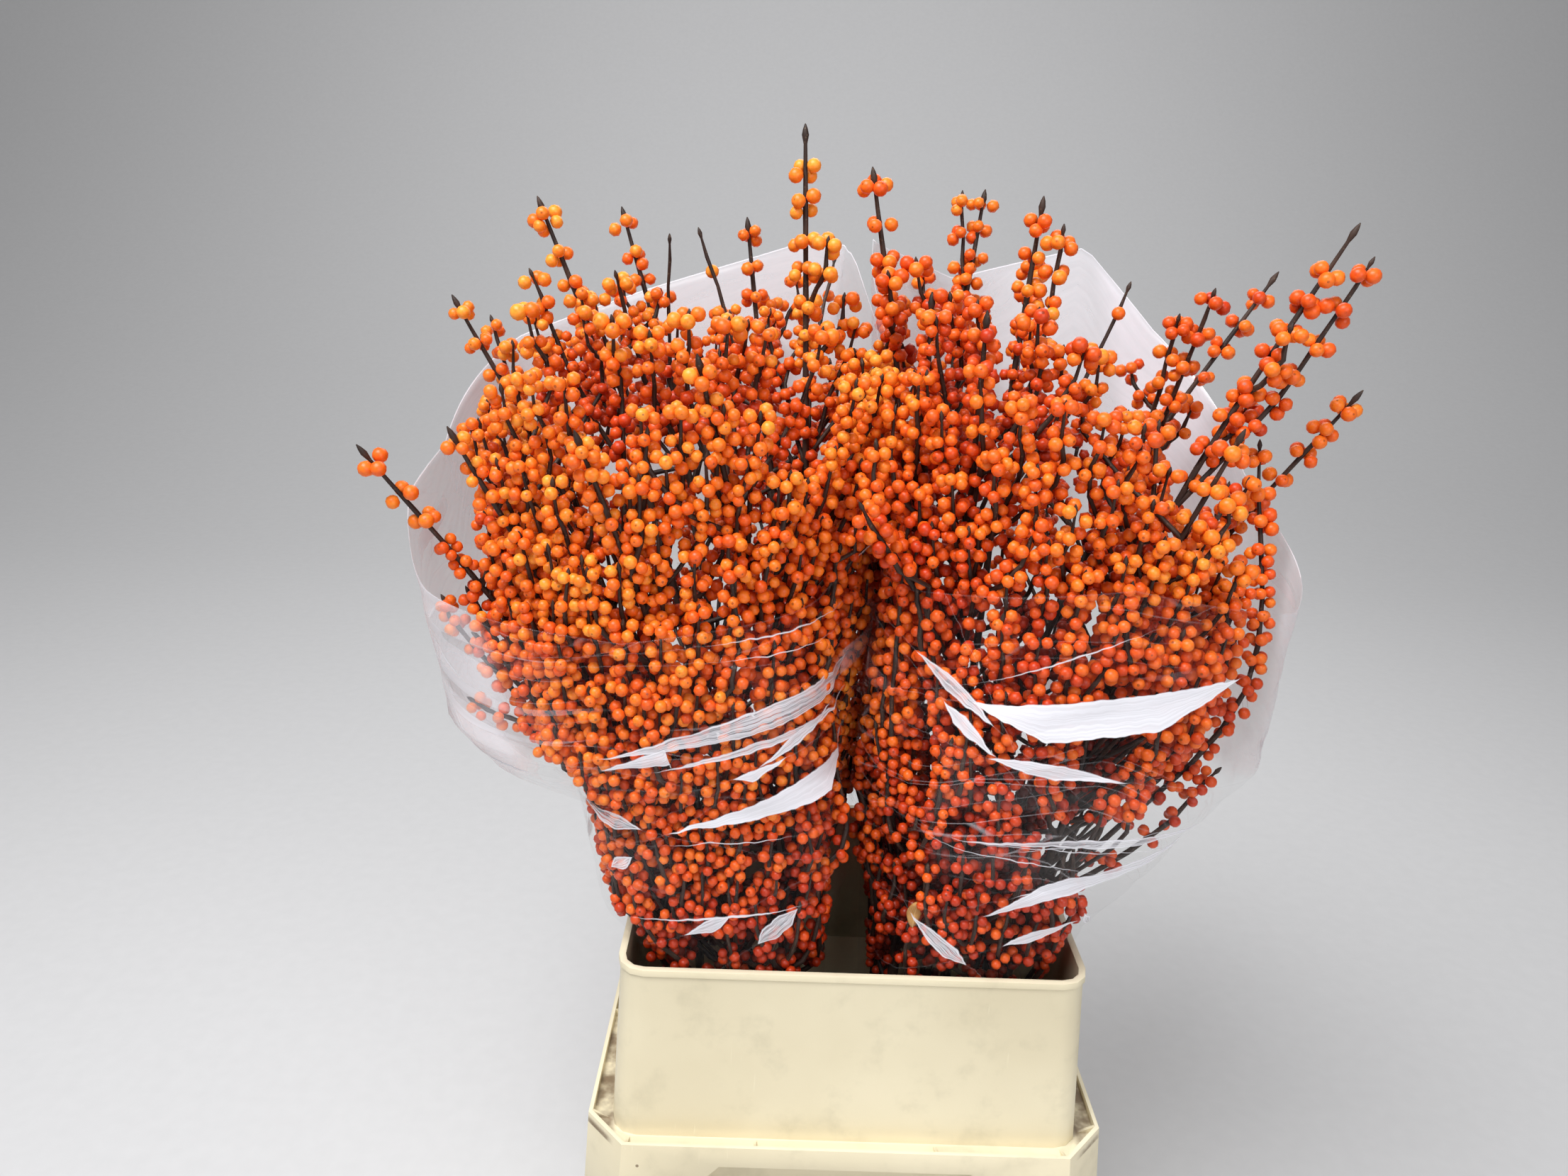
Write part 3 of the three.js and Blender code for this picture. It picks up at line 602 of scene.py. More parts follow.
# Clusters by where they grow: length along the shoot, gap to the next one and number of berries
CLUSTERS = {
    "sparse": ((3, 8), (16, 30), (1, 3)),
    "free": ((6, 10), (8, 15), (6, 10)),
    "dense": ((6, 9), (5, 10), (9, 12)),
    "low": ((6, 9), (11, 22), (9, 12)),
}


def clusters(name, kind, line, draw):
    """The clusters along a shoot, from its tip down: upper end, length and number of berries."""
    if kind not in FRUIT:
        return
    bare_share, bare_tip = FRUIT[kind]
    if kind == "leader":
        bare_tip = BARE_TIPS.get(name, bare_tip)
    length = line_length(line)
    upper = length - bare_tip * draw.between(0.7, 1.2)
    while upper > length * bare_share:
        place = along(line, upper)[0]
        growth = "sparse" if kind == "sparse" else "low" if place.z < LOW_CLUSTERS_BELOW else "dense"
        if growth == "dense" and place.z > crown_height(place) - 4:
            growth = "free"
        sizes, gaps, counts = CLUSTERS[growth]
        size = draw.between(*sizes)
        yield upper, size, int(draw.between(counts[0], counts[1] + 1))
        upper -= size + draw.between(*gaps)


def in_open_corner(side, place):
    """The right sleeve's front corner, where only bare stems cross the clear film."""
    behind = place.y - OPEN_CORNER_Y
    low, high = OPEN_CORNER_Z
    outside = place.x > OPEN_CORNER_X + 0.3 * behind
    return side > 0 and place.y < 0 and low < place.z + 0.5 * behind < high and outside


def berry_radius(point, settings, draw):
    """A berry is small in the sleeve, larger over its widest part and full on the free tips."""
    radius = draw.between(settings.berry_smallest, settings.berry_largest) / MM / 2
    radius *= 0.8 + 0.05 * climb(point.z, 480, 540)
    return radius * (1 + 0.18 * climb(point.z - crown_height(point), -25, 5))


def berry_places(name, side, lines, draw, settings, room):
    """Each berry of a branch: centre, direction away from its twig, radius and tone, which holds painted
    light and shade.
    """
    places = []
    branch_tone = draw.between(-0.1, 0.1)
    for kind, line in lines:
        angle = draw.next() * TAU
        for upper, size, count in clusters(name, kind, line, draw):
            for k in range(count):
                share = (k + 0.5) / count
                point, direction = along(line, max(0, upper - size * share))
                first_axis, second_axis = across(direction)
                angle += BERRY_TURN + draw.between(-0.3, 0.3)
                away = first_axis * math.cos(angle) + second_axis * math.sin(angle)
                radius = berry_radius(point, settings, draw)
                stalk = draw.between(0.4, 1.6) + 2.6 * math.sin(math.pi * share) * draw.next()
                free = point + away * (radius + stalk) + direction * draw.between(-1, 1)
                tone = draw.next()
                centre = inside_sleeve(side, free, radius + BERRY_ROOM)
                depth = depth_inside(side, centre)
                if depth > settings.hidden_depth / MM:
                    radius *= HIDDEN_GAIN
                if depth >= settings.empty_depth / MM or (centre - free).length >= MOST_HELD_BACK:
                    continue
                if kind != "full" and in_open_corner(side, centre):
                    continue
                if room.fits(centre, radius):
                    lift = (away + direction * draw.between(-0.2, 0.9)).normalized()
                    places.append((centre, lift, radius, tone_with_painted_light(side, centre, tone, branch_tone)))
    return places


def depth_inside(side, centre):
    """How far a berry lies inside the dense mass, from its side or from its crown."""
    section = section_at(MASS_SECTIONS, side, centre.z)
    x = side * centre.x - section[0]
    to_side = section_distance(section, math.atan2(centre.y, x)) - math.hypot(x, centre.y)
    return min(to_side, 0.7 * (crown_height(centre) - centre.z))


def tone_with_painted_light(side, centre, chance, branch_tone):
    """0 is a shaded dark red and 1 a pale yellow orange. Painted light makes the top left the palest, and
    painted shade darkens the low berries and those deep inside the mass.
    """
    drift = noise.noise(centre * 0.012) * 0.22
    # Painted light and shade: paler higher up, to the left and to the front, where the key light falls, and
    # darker low down
    slope = (centre.z - 560) * 0.0006 - centre.x * 0.0003 - centre.y * 0.0003
    slope -= 0.0014 * max(0, 500 - centre.z)
    surface = min(1, max(0.2, 0.55 + drift + slope + branch_tone + (chance - 0.5) * 0.4))
    # Painted shade: berries deep inside the mass are darkened, more so low down
    shade = climb(depth_inside(side, centre), 12, 34)
    lowness = climb(centre.z, 600, 490)
    return surface * (1 - shade * (0.48 + 0.47 * lowness))


class Value:
    """A value in a shader. A sum with it adds a maths node to the tree that it stands in."""

    def __init__(self, socket):
        self.socket = socket
        self.tree = socket.id_data

    def __add__(self, other):
        return maths("ADD", self, other)

    def __sub__(self, other):
        return maths("SUBTRACT", self, other)

    def __rsub__(self, other):
        return maths("SUBTRACT", other, self)

    def __mul__(self, other):
        return maths("MULTIPLY", self, other)

    def __truediv__(self, other):
        return maths("DIVIDE", self, other)


def tree_of(values):
    """The tree in which the first shader value of a row stands."""
    return next(value.tree for value in values if isinstance(value, Value))


def set_inputs(node, values):
    """Links a node's inputs to shader values, or sets them to plain ones, by name or number."""
    for key, value in values.items():
        socket = node.inputs[key]
        if isinstance(value, Value):
            value.tree.links.new(value.socket, socket)
        else:
            socket.default_value = (*value[:3], 1) if socket.type == "RGBA" else value


def principled(name):
    """A new material, its shader and the point on the object that it colours."""
    material = bpy.data.materials.new(name)
    material.use_nodes = True
    tree = material.node_tree
    return material, tree.nodes["Principled BSDF"], value_node(tree, "ShaderNodeTexCoord", "Object")


def add_node(tree, kind, values=None, **settings):
    """A node with its settings and its inputs."""
    node = tree.nodes.new(kind)
    for key, value in settings.items():
        setattr(node, key, value)
    set_inputs(node, values or {})
    return node


def value_node(tree, kind, output, values=None, **settings):
    """One output of a new node."""
    return Value(add_node(tree, kind, values, **settings).outputs[output])


def maths(operation, *values, clamp=False):
    """A sum of shader values and plain numbers."""
    tree, inputs = tree_of(values), dict(enumerate(values))
    return value_node(tree, "ShaderNodeMath", 0, inputs, operation=operation, use_clamp=clamp)


def vector_maths(operation, first, others=None):
    """A vector node on one value and the others, which are given by input."""
    inputs = {0: first, **(others or {})}
    return value_node(first.tree, "ShaderNodeVectorMath", 0, inputs, operation=operation)


def split(vector):
    """The x, y and z of a vector, or the red, green and blue of a colour, in a row."""
    parts = add_node(vector.tree, "ShaderNodeSeparateXYZ", {"Vector": vector}).outputs
    return [Value(part) for part in parts]


def stretched(point, scale):
    """A point whose axes are scaled one by one, to draw a pattern out along some of them."""
    return value_node(point.tree, "ShaderNodeMapping", "Vector", {"Vector": point, "Scale": scale})


def ramp(factor, stops):
    """A colour ramp through (position, colour) stops."""
    node = add_node(factor.tree, "ShaderNodeValToRGB", {"Fac": factor})
    elements = node.color_ramp.elements
    while len(elements) < len(stops):
        elements.new(0.5)
    for element, (position, colour) in zip(elements, stops):
        element.position = position
        element.color = (*colour[:3], 1)
    return Value(node.outputs["Color"])


def ranged(value, low, high):
    """A mask that rises smoothly from 0 at low to 1 at high."""
    inputs = {"Value": value, "From Min": low, "From Max": high}
    return value_node(value.tree, "ShaderNodeMapRange", "Result", inputs, interpolation_type="SMOOTHSTEP")


def mix_colour(factor, first, second, blend="MIX"):
    """Two colours, or a colour and a shade, mixed by a mask."""
    tree, inputs = tree_of((factor, first)), {0: factor, 6: first, 7: second}
    return value_node(tree, "ShaderNodeMix", 2, inputs, data_type="RGBA", blend_type=blend)


def bump(height, strength, distance):
    """A normal that makes a height show as relief."""
    inputs = {"Height": height, "Strength": strength, "Distance": distance}
    return value_node(height.tree, "ShaderNodeBump", "Normal", inputs)


def noise_mask(point, scale, detail=3, rough=0.5):
    """A soft random mask over the points of a piece."""
    inputs = {"Vector": point, "Scale": scale, "Detail": detail, "Roughness": rough}
    return value_node(point.tree, "ShaderNodeTexNoise", "Fac", inputs)


def cell_distance(point, scale):
    """Distance from the middles of scattered cells, for pores and specks."""
    return value_node(point.tree, "ShaderNodeTexVoronoi", "Distance", {"Vector": point, "Scale": scale})


def attribute(tree, name):
    """A number that the piece holds at each vertex."""
    return value_node(tree, "ShaderNodeAttribute", "Fac", attribute_name=name)


def berry_material(settings):
    """Waxy skin from dark red to yellow orange by its tone, which holds painted light and shade, and a dark
    calyx on some berries.
    """
    material, shader, point = principled("berry_skin")
    tone, calyx = attribute(point.tree, "tone"), attribute(point.tree, "calyx")
    mottle = noise_mask(point, 420, 2)
    # The darkest stop is painted shade, for berries deep inside the mass
    stops = (
        (0.0, settings.shaded),
        (0.25, settings.deep),
        (0.5, settings.ripe),
        (0.78, settings.pale),
        (1.0, settings.palest),
    )
    skin = ramp(tone * (mottle * 0.6 + 0.7), stops)
    chance = value_node(point.tree, "ShaderNodeTexWhiteNoise", "Value", {"W": tone}, noise_dimensions="1D")
    spot = ranged(calyx, 0.72, 0.84) * maths("GREATER_THAN", chance, 0.6)
    looks = {
        "Base Color": mix_colour(spot * 0.6, skin, settings.calyx),
        "Roughness": mottle * 0.16 + 0.3,
        "Specular IOR Level": 0.4,
        "Normal": bump(mottle, 0.12, 0.0004),
    }
    set_inputs(shader, looks)
    return material


def bark_material(settings):
    """Dark bark with a fine grain along the stem and pale pores."""
    material, shader, point = principled("bark")
    grain = noise_mask(stretched(point, (1, 1, 0.25)), 260, 4, 0.6)
    bark = ramp(noise_mask(point, 45, 3), ((0.3, settings.bark_dark), (0.7, settings.bark_light)))
    pores = maths("LESS_THAN", cell_distance(point, 380), 0.2)
    speckled = mix_colour(pores * 0.5, bark, PORE_COLOUR)
    shade = ramp(grain, ((0.3, (0.35, 0.35, 0.35)), (0.75, (1, 1, 1))))
    looks = {
        "Base Color": mix_colour(0.55, speckled, shade, "MULTIPLY"),
        "Roughness": grain * 0.25 + 0.5,
        "Normal": bump(grain, 0.4, 0.0004),
    }
    set_inputs(shader, looks)
    return material


def set_all(data, name, value):
    """Gives all vertices of a mesh one value."""
    data.attributes[name].data.foreach_set("value", [value] * len(data.vertices))


class WINTERBERRY_OT_wood(bpy.types.Operator):
    """Grow the wood of every branch: leader, twigs and pointed buds"""

    bl_idname = "winterberry.wood"
    bl_label = "Branch Wood"

    def execute(self, context):
        settings = context.scene.winterberry_branches
        bark = bark_material(settings)
        for name, _, lines, draw in grow(settings):
            start_clean()
            bpy.ops.curve.primitive_nurbs_path_add(radius=0.1)
            rods = context.object
            curve = rods.data
            curve.splines.clear()
            curve.bevel_depth = MM
            curve.bevel_resolution = 1
            curve.use_fill_caps = True
            for kind, line in lines:
                add_rod(curve, kind, line, draw)
            bpy.ops.object.convert(target="MESH")
            rods = context.object
            rods.data.materials.clear()
            rods.data.materials.append(bark)
            bpy.ops.object.shade_smooth()
            place_in_frame(rods, f"{name}_wood", (name,))
        return {"FINISHED"}


def add_rod(curve, kind, line, draw):
    """One tapered stem, with small swellings at its nodes and a bud on its end."""
    if kind != "leader":
        line = kinked(line, TWIG_KINK, draw)
    length = line_length(line)
    thick, thin = ROD_RADII.get(kind, ROD_RADII["cover"])
    points = []
    passed = 0
    for k, point in enumerate(line[:-1]):
        passed += (point - line[k - 1]).length if k else 0
        if passed <= length - BUD_CLEARANCE:
            swell = 1.18 if k % 2 and passed > 0.4 * length else 1
            points.append((point, (thick + (thin - thick) * passed / length) * swell))
    tip, heading = line[-1], (line[-1] - line[-2]).normalized()
    bud, size = (11, 1) if kind == "leader" else (6.5, 0.7)
    for share, radius in BUD_PROFILE:
        points.append((tip - heading * bud * share, radius * size))
    spline = curve.splines.new("POLY")
    spline.points.add(len(points) - 1)
    for spot, (point, radius) in zip(spline.points, points):
        spot.co = (*(point * MM), 1)
        spot.radius = radius


def berry_template(context, detail):
    """A berry of radius 1, its calyx up: 80 triangles in front, 48 at the back, 20 where hidden."""
    start_clean()
    if detail == "back":
        bpy.ops.mesh.primitive_uv_sphere_add(segments=8, ring_count=4, radius=1, calc_uvs=False)
    else:
        cuts = 2 if detail == "front" else 1
        bpy.ops.mesh.primitive_ico_sphere_add(subdivisions=cuts, radius=1, calc_uvs=False)
    berry = context.object
    bpy.ops.object.mode_set(mode="EDIT")
    bpy.ops.mesh.select_all(action="DESELECT")
    shape = bmesh.from_edit_mesh(berry.data)
    for vertex in shape.verts:
        vertex.select = abs(vertex.co.z) > 0.99
    shape.select_flush(True)
    bmesh.update_edit_mesh(berry.data)
    bpy.ops.transform.resize(value=(1, 1, 0.9))
    bpy.ops.object.mode_set(mode="OBJECT")
    bpy.ops.object.shade_smooth()
    berry.data.attributes.new("tone", "FLOAT", "POINT")
    berry.data.attributes.new("calyx", "FLOAT", "POINT")
    calyx = [1.0 if vertex.co.z > 0.88 else 0.4 * max(0, vertex.co.z) for vertex in berry.data.vertices]
    berry.data.attributes["calyx"].data.foreach_set("value", calyx)
    return berry


def berry_detail(side, centre, settings):
    """How finely a berry is made: on the free front, in the mass or behind, or deep inside."""
    depth = depth_inside(side, centre)
    if depth > settings.hidden_depth / MM:
        return "hidden"
    return "back" if depth > -1 or centre.y > BACK_BERRIES_Y else "front"


class WINTERBERRY_OT_berries(bpy.types.Operator):
    """Set berries round the twigs of every branch, none inside another"""

    bl_idname = "winterberry.berries"
    bl_label = "Berries"

    def execute(self, context):
        settings = context.scene.winterberry_branches
        skin = berry_material(settings)
        templates = {detail: berry_template(context, detail) for detail in ("front", "back", "hidden")}
        for template in templates.values():
            template.data.materials.append(skin)
        room = Room()
        for name, side, lines, draw in grow(settings):
            start_clean()
            copies = []
            for centre, away, radius, tone in berry_places(name, side, lines, draw, settings, room):
                template = templates[berry_detail(side, centre, settings)]
                copy = bpy.data.objects.new("berry", template.data.copy())
                turned = away.to_track_quat("Z", "Y").to_matrix().to_4x4()
                copy.matrix_world = Matrix.Translation(centre * MM) @ turned @ Matrix.Scale(radius * MM, 4)
                set_all(copy.data, "tone", tone)
                context.collection.objects.link(copy)
                copy.select_set(True)
                copies.append(copy)
            context.view_layer.objects.active = copies[0]
            bpy.ops.object.join()
            place_in_frame(context.object, f"{name}_berries", (name,))
        for template in templates.values():
            bpy.data.objects.remove(template)
        return {"FINISHED"}


FACET_INPUTS = ("Start X", "Start Z", "End X", "End Z", "Width", "Upper", "Rise", "Fall")


def glint_fold_group():
    """A fold of doubled film on the front with a painted glint: pointed at both ends, with straight edges
    between, a painted highlight on its rim and painted streaks of highlight along its pleats.
    """
    name = "Painted Glint Fold"
    if name in bpy.data.node_groups:
        return bpy.data.node_groups[name]
    group = bpy.data.node_groups.new(name, "ShaderNodeTree")
    group.interface.new_socket("Point", in_out="INPUT", socket_type="NodeSocketVector")
    for label in FACET_INPUTS:
        group.interface.new_socket(label, in_out="INPUT", socket_type="NodeSocketFloat")
    for label in ("Mask", "Bright"):
        group.interface.new_socket(label, in_out="OUTPUT", socket_type="NodeSocketFloat")
    given = group.nodes.new("NodeGroupInput").outputs
    point = Value(given["Point"])
    start_x, start_z, end_x, end_z, greatest, upper, rise, fall = (Value(given[key]) for key in FACET_INPUTS)
    x, y, z = split(point)
    run_x, run_z = end_x - start_x, end_z - start_z
    from_x, from_z = x - start_x, z - start_z
    square = run_x * run_x + run_z * run_z
    share = maths("DIVIDE", from_x * run_x + from_z * run_z, square, clamp=True)
    ragged = noise_mask(point, 120, 1) * 0.003 - 0.0015
    distance = (from_z * run_x - from_x * run_z) / maths("SQRT", square) + ragged
    widest = maths("MINIMUM", maths("MINIMUM", share / rise, (1 - share) / (1 - fall)), 1)
    width = widest * greatest
    outside = maths("MAXIMUM", distance - width * upper, width * (upper - 1) - distance)
    front = maths("LESS_THAN", y, -0.06)
    mask = 1 - ranged(outside, -0.0006, 0.0002)
    # Painted highlight along the fold's rim
    rim = ranged(outside, -0.0016, -0.0007)
    # Pleats fan out from both points, as streaks of painted highlight
    fan = distance / (width + 0.001)
    pleat = value_node(group, "ShaderNodeCombineXYZ", 0, {0: fan, 1: share, 2: start_x})
    streak = ranged(noise_mask(stretched(pleat, (14, 1.2, 40)), 1.4, 4, 0.65), 0.4, 0.62)
    ending = group.nodes.new("NodeGroupOutput")
    set_inputs(ending, {"Mask": mask * front, "Bright": maths("MAXIMUM", rim, streak)})
    return group


# Folds of doubled film on the front, each with a painted glint, in millimetres: start x and z, end x and z,
# width, share of the width above the line between them, where the full width begins and ends, and how white
# it is
FOLDS_WITH_PAINTED_GLINTS = {
    -1: (
        (-149, 504, -113, 520, 11, 0.1, 0.9, 0.95, 0.75),
        (-113, 460, -13, 503, 19, 0.08, 0.83, 0.87, 1.0),
        (-76, 500, -46, 510, 7, 0.2, 0.3, 0.4, 0.9),
        (-62, 506, -22, 532, 7, 0.5, 0.5, 0.7, 0.6),
        (-150, 512, -12, 552, 14, 0.3, 0.6, 0.9, 0.34),
        (-121, 504, -11, 530, 5, 0.7, 0.5, 0.8, 0.3),
        (-164, 470, -128, 462, 12, 0.4, 0.4, 0.6, 0.22),
        (-236, 500, -186, 496, 2.4, 0.5, 0.3, 0.6, 0.7),
        (-138, 394, -30, 406, 2, 0.6, 0.4, 0.6, 0.5),
        (-104, 386, -76, 402, 9, 0.4, 0.5, 0.7, 0.6),
        (-60, 380, -36, 404, 12, 0.5, 0.3, 0.7, 0.35),
        (-148, 428, -134, 440, 9, 0.5, 0.4, 0.5, 0.4),
        (-113, 452, -40, 458, 1, 0.5, 0.4, 0.6, 0.6),
        (-92, 581, -13, 590, 1.2, 0.5, 0.4, 0.6, 0.5),
        (-85, 572, -20, 576, 0.8, 0.5, 0.4, 0.6, 0.5),
    ),
    1: (
        (53, 549, 196, 571, 23, 0.0, 0.26, 0.68, 0.95),
        (64, 519, 141, 510, 9, 0.45, 0.3, 0.5, 0.75),
        (24, 571, 66, 538, 8, 0.5, 0.4, 0.6, 0.4),
        (40, 546, 68, 520, 8, 0.4, 0.3, 0.5, 0.7),
        (73, 408, 176, 452, 12, 0.9, 0.35, 0.5, 0.8),
        (88, 424, 192, 462, 6, 0.5, 0.5, 0.7, 0.3),
        (33, 399, 69, 368, 10, 0.5, 0.4, 0.7, 0.32),
        (88, 385, 132, 406, 8, 0.4, 0.3, 0.5, 0.8),
        (134, 412, 146, 388, 5, 0.5, 0.3, 0.5, 0.6),
        (50, 462, 205, 470, 6, 0.5, 0.5, 0.7, 0.16),
        (31, 459, 140, 443, 0.9, 0.5, 0.4, 0.6, 0.7),
        (36, 463, 186, 458, 0.8, 0.5, 0.4, 0.6, 0.6),
        (60, 452, 190, 478, 0.8, 0.5, 0.4, 0.6, 0.6),
        (57, 562, 142, 600, 1.2, 0.5, 0.4, 0.6, 0.4),
        (60, 625, 137, 649, 9, 0.3, 0.4, 0.6, 0.35),
    ),
}


def glint_fold_mask(point, side):
    """How milky the placed folds make the film, with their painted glints."""
    facet = glint_fold_group()
    folds = 0.0
    for *lengths, upper, rise, fall, white in FOLDS_WITH_PAINTED_GLINTS[side]:
        sizes = (*(length * MM for length in lengths), upper, rise, fall)
        values = {"Point": point, **dict(zip(FACET_INPUTS, sizes))}
        fold = add_node(point.tree, "ShaderNodeGroup", values, node_tree=facet).outputs
        # The whiter a fold, the more of it is covered by painted glint
        clear = 0.6 * (1 - white)
        inside = Value(fold["Bright"]) * (clear + 0.14) + 0.84 * white * (1 - clear)
        folds = maths("MAXIMUM", folds, Value(fold["Mask"]) * inside)
    return folds


# Where the milky outward part of each sleeve begins, in millimetres: distance from the middle
# plane, the height from which that line leans, and how far it leans
VEIL_LINE = {-1: (198, 545, 0.45), 1: (226, 575, -0.3)}


def film_material(name, side, settings):
    """Clear crackly film: seen through, with mirroring facets, fine creases and milky folds, painted glints
    on the folds, on scattered facets and along the edge, and a painted sheen at the sides and the high back.
    """
    material, shader, point = principled(name)
    tree = point.tree
    x, y, z = split(point)
    sheet = value_node(tree, "ShaderNodeUVMap", "UV", uv_map="sheet")
    sway = value_node(tree, "ShaderNodeTexNoise", "Color", {"Vector": point, "Scale": 7, "Detail": 1})
    swayed = value_node(tree, "ShaderNodeMixRGB", 0, {"Fac": 0.13, 1: sheet, 2: sway})
    facets = {"Vector": stretched(swayed, (7, 34, 1)), "Scale": 1}
    cells = value_node(tree, "ShaderNodeTexVoronoi", "Color", facets)
    borders = value_node(tree, "ShaderNodeTexVoronoi", "Distance", facets, feature="DISTANCE_TO_EDGE")
    # Creased patches: here and there, from the bunches' foot to above their widest part
    creased = ranged(noise_mask(point, 7, 2), 0.46, 0.62) * ranged(z, 0.68, 0.56) * ranged(z, 0.4, 0.45)
    crease = (1 - ranged(borders, 0, 0.02)) * creased
    turned_back = maths("GREATER_THAN", y, -0.07)
    # Painted glints on a few facets in the creased patches, stronger at the back
    shard_glints = maths("GREATER_THAN", split(cells)[0], 0.93) * creased * (turned_back * 0.3 + 0.1)
    # Painted highlight along the film's top edge, stronger at the back
    rim = (1 - ranged(attribute(tree, "below_edge"), 0.0004, 0.001)) * (turned_back * 0.36 + 0.02)
    milky_and_glints = maths("MAXIMUM", glint_fold_mask(point, side), maths("MAXIMUM", rim, shard_glints))
    # Crease lines whitened: partly the film's own creasing, partly painted highlight
    milky_and_glints = maths("MAXIMUM", milky_and_glints, crease * 0.12)
    # Veil of milky film and painted sheen: hardly any in front, more at the outward side and where the back
    # stands over the bunches
    reach, turn_z, slope = VEIL_LINE[side]
    line = maths("MAXIMUM", z - turn_z * MM, 0) * slope + reach * MM
    uneven = noise_mask(point, 22, 3) * 0.02 - 0.01
    beside = ranged(maths("ABSOLUTE", x) - line + uneven, -0.006, 0.01)
    behind = ranged(y, 0, 0.12) * ranged(z, 0.52, 0.7)
    veil_and_sheen = beside * settings.side_veil_and_sheen + settings.haze + behind * settings.back_veil_and_sheen
    streaks = ranged(noise_mask(facets["Vector"], 3, 3), 0.3, 0.7)
    opaque = maths("ADD", milky_and_glints, veil_and_sheen * (streaks * 0.16 + 0.92), clamp=True)
    # Each facet is tilted its own way
    amount = (creased * 0.9 + 0.1) * settings.crackle
    tilt = vector_maths("SUBTRACT", cells, {1: (0.5, 0.5, 0.5)})
    tilt = vector_maths("SCALE", tilt, {"Scale": amount})
    facing = value_node(tree, "ShaderNodeNewGeometry", "Normal")
    normal = vector_maths("NORMALIZE", vector_maths("ADD", facing, {1: tilt}))
    gloss = {"Color": (1, 1, 1), "Roughness": 0.05, "Normal": normal}
    mirror = value_node(tree, "ShaderNodeBsdfGlossy", 0, gloss)
    clear = value_node(tree, "ShaderNodeBsdfTransparent", 0, {"Color": (0.99, 0.99, 0.99)})
    fresnel = value_node(tree, "ShaderNodeFresnel", 0, {"IOR": 1.5, "Normal": normal})
    shine_share = maths("MINIMUM", fresnel, 0.25) * (creased * 0.1 + settings.shine)
    shine = value_node(tree, "ShaderNodeMixShader", 0, {0: shine_share, 1: clear, 2: mirror})
    set_inputs(shader, {"Base Color": settings.tint, "Roughness": 0.3, "Normal": normal})
    film = value_node(tree, "ShaderNodeMixShader", 0, {0: opaque, 1: shine, 2: Value(shader.outputs[0])})
    set_inputs(tree.nodes["Material Output"], {"Surface": film})
    return material


def wrinkle(side, angle, z, edge):
    """How far the film is drawn in from its smooth sleeve at one place, in millimetres."""
    around = 150 * angle
    ridged = climb(z, 352, 382) * climb(z, 630, 510)
    place = Vector((around / 120, z / 24 + 0.7 * math.sin(around / 70), 3.7 * side))
    ridge = max(0, 1 - abs(noise.noise(place)) * 3) ** 1.5
    broad = 0.5 + 0.5 * noise.noise(Vector((around / 80, z / 150, 8.1 * side)))
    flutter = climb(z, edge - 90, edge) * (0.5 + 0.5 * math.sin(around / 26 + 3 * broad))
    # The film lies nearly smooth on the face where the sleeves touch
    loose = 1 if math.cos(angle) > -0.75 else 0.15
    drawn_in = RIDGE_DEPTH * ridged * ridge + BROAD_DEPTH * broad * climb(z, 370, 430)
    return loose * (drawn_in + FLUTTER_DEPTH * flutter)


def leaf_material(settings):
    """A withered leaf: tan, blotched, with a paler midrib and side veins."""
    material, shader, point = principled("withered_leaf")
    across_blade, down, _ = split(value_node(point.tree, "ShaderNodeUVMap", "UV", uv_map="blade"))
    from_rib = maths("ABSOLUTE", across_blade - 0.5)
    blotch = noise_mask(point, 160, 4)
    blade = ramp(blotch, ((0.3, settings.leaf_dark), (0.7, settings.leaf)))
    veins = maths("GREATER_THAN", maths("SINE", (down - from_rib * 0.9) * 52), 0.93)
    rib = maths("MAXIMUM", maths("LESS_THAN", from_rib, 0.03), veins)
    looks = {
        "Base Color": mix_colour(rib * 0.6, blade, settings.leaf_rib),
        "Roughness": blotch * 0.2 + 0.45,
        "Normal": bump(rib * 0.6 + blotch, 0.4, 0.0006),
    }
    set_inputs(shader, looks)
    return material


def thicken(obj, thickness):
    """Gives a sheet its thickness."""
    make_active(obj)
    solid = obj.modifiers.new("thickness", "SOLIDIFY")
    solid.thickness = thickness
    bpy.ops.object.modifier_apply(modifier=solid.name)
    bpy.ops.object.shade_smooth()


class WINTERBERRY_OT_leaf(bpy.types.Operator):
    """Hang the one withered leaf low in the right bunch"""

    bl_idname = "winterberry.leaf"
    bl_label = "Withered Leaf"

    def execute(self, context):
        settings = context.scene.winterberry_branches
        start_clean()
        bpy.ops.mesh.primitive_grid_add(x_subdivisions=8, y_subdivisions=16, size=1)
        leaf = context.object
        leaf.data.uv_layers[0].name = "blade"
        width, length = (size / MM for size in settings.leaf_size)
        for vertex in leaf.data.vertices:
            across_blade, down = 2 * vertex.co.x, 0.5 - vertex.co.y
            half = width / 2 * (math.sin(math.pi * down**0.8) ** 0.7 if 0 < down < 1 else 0) + 0.35
            curl = 1.6 * across_blade**2 + 2.2 * math.sin(2.6 * down) - 0.5 * math.sin(9 * down)
            from_stalk = Vector((across_blade * half - 2 * down, curl, -length * down))
            vertex.co = (LEAF_STALK + from_stalk) * MM
        thicken(leaf, LEAF_THICKNESS)
        leaf.data.materials.append(leaf_material(settings))
        place_in_frame(leaf, "withered_leaf")
        return {"FINISHED"}


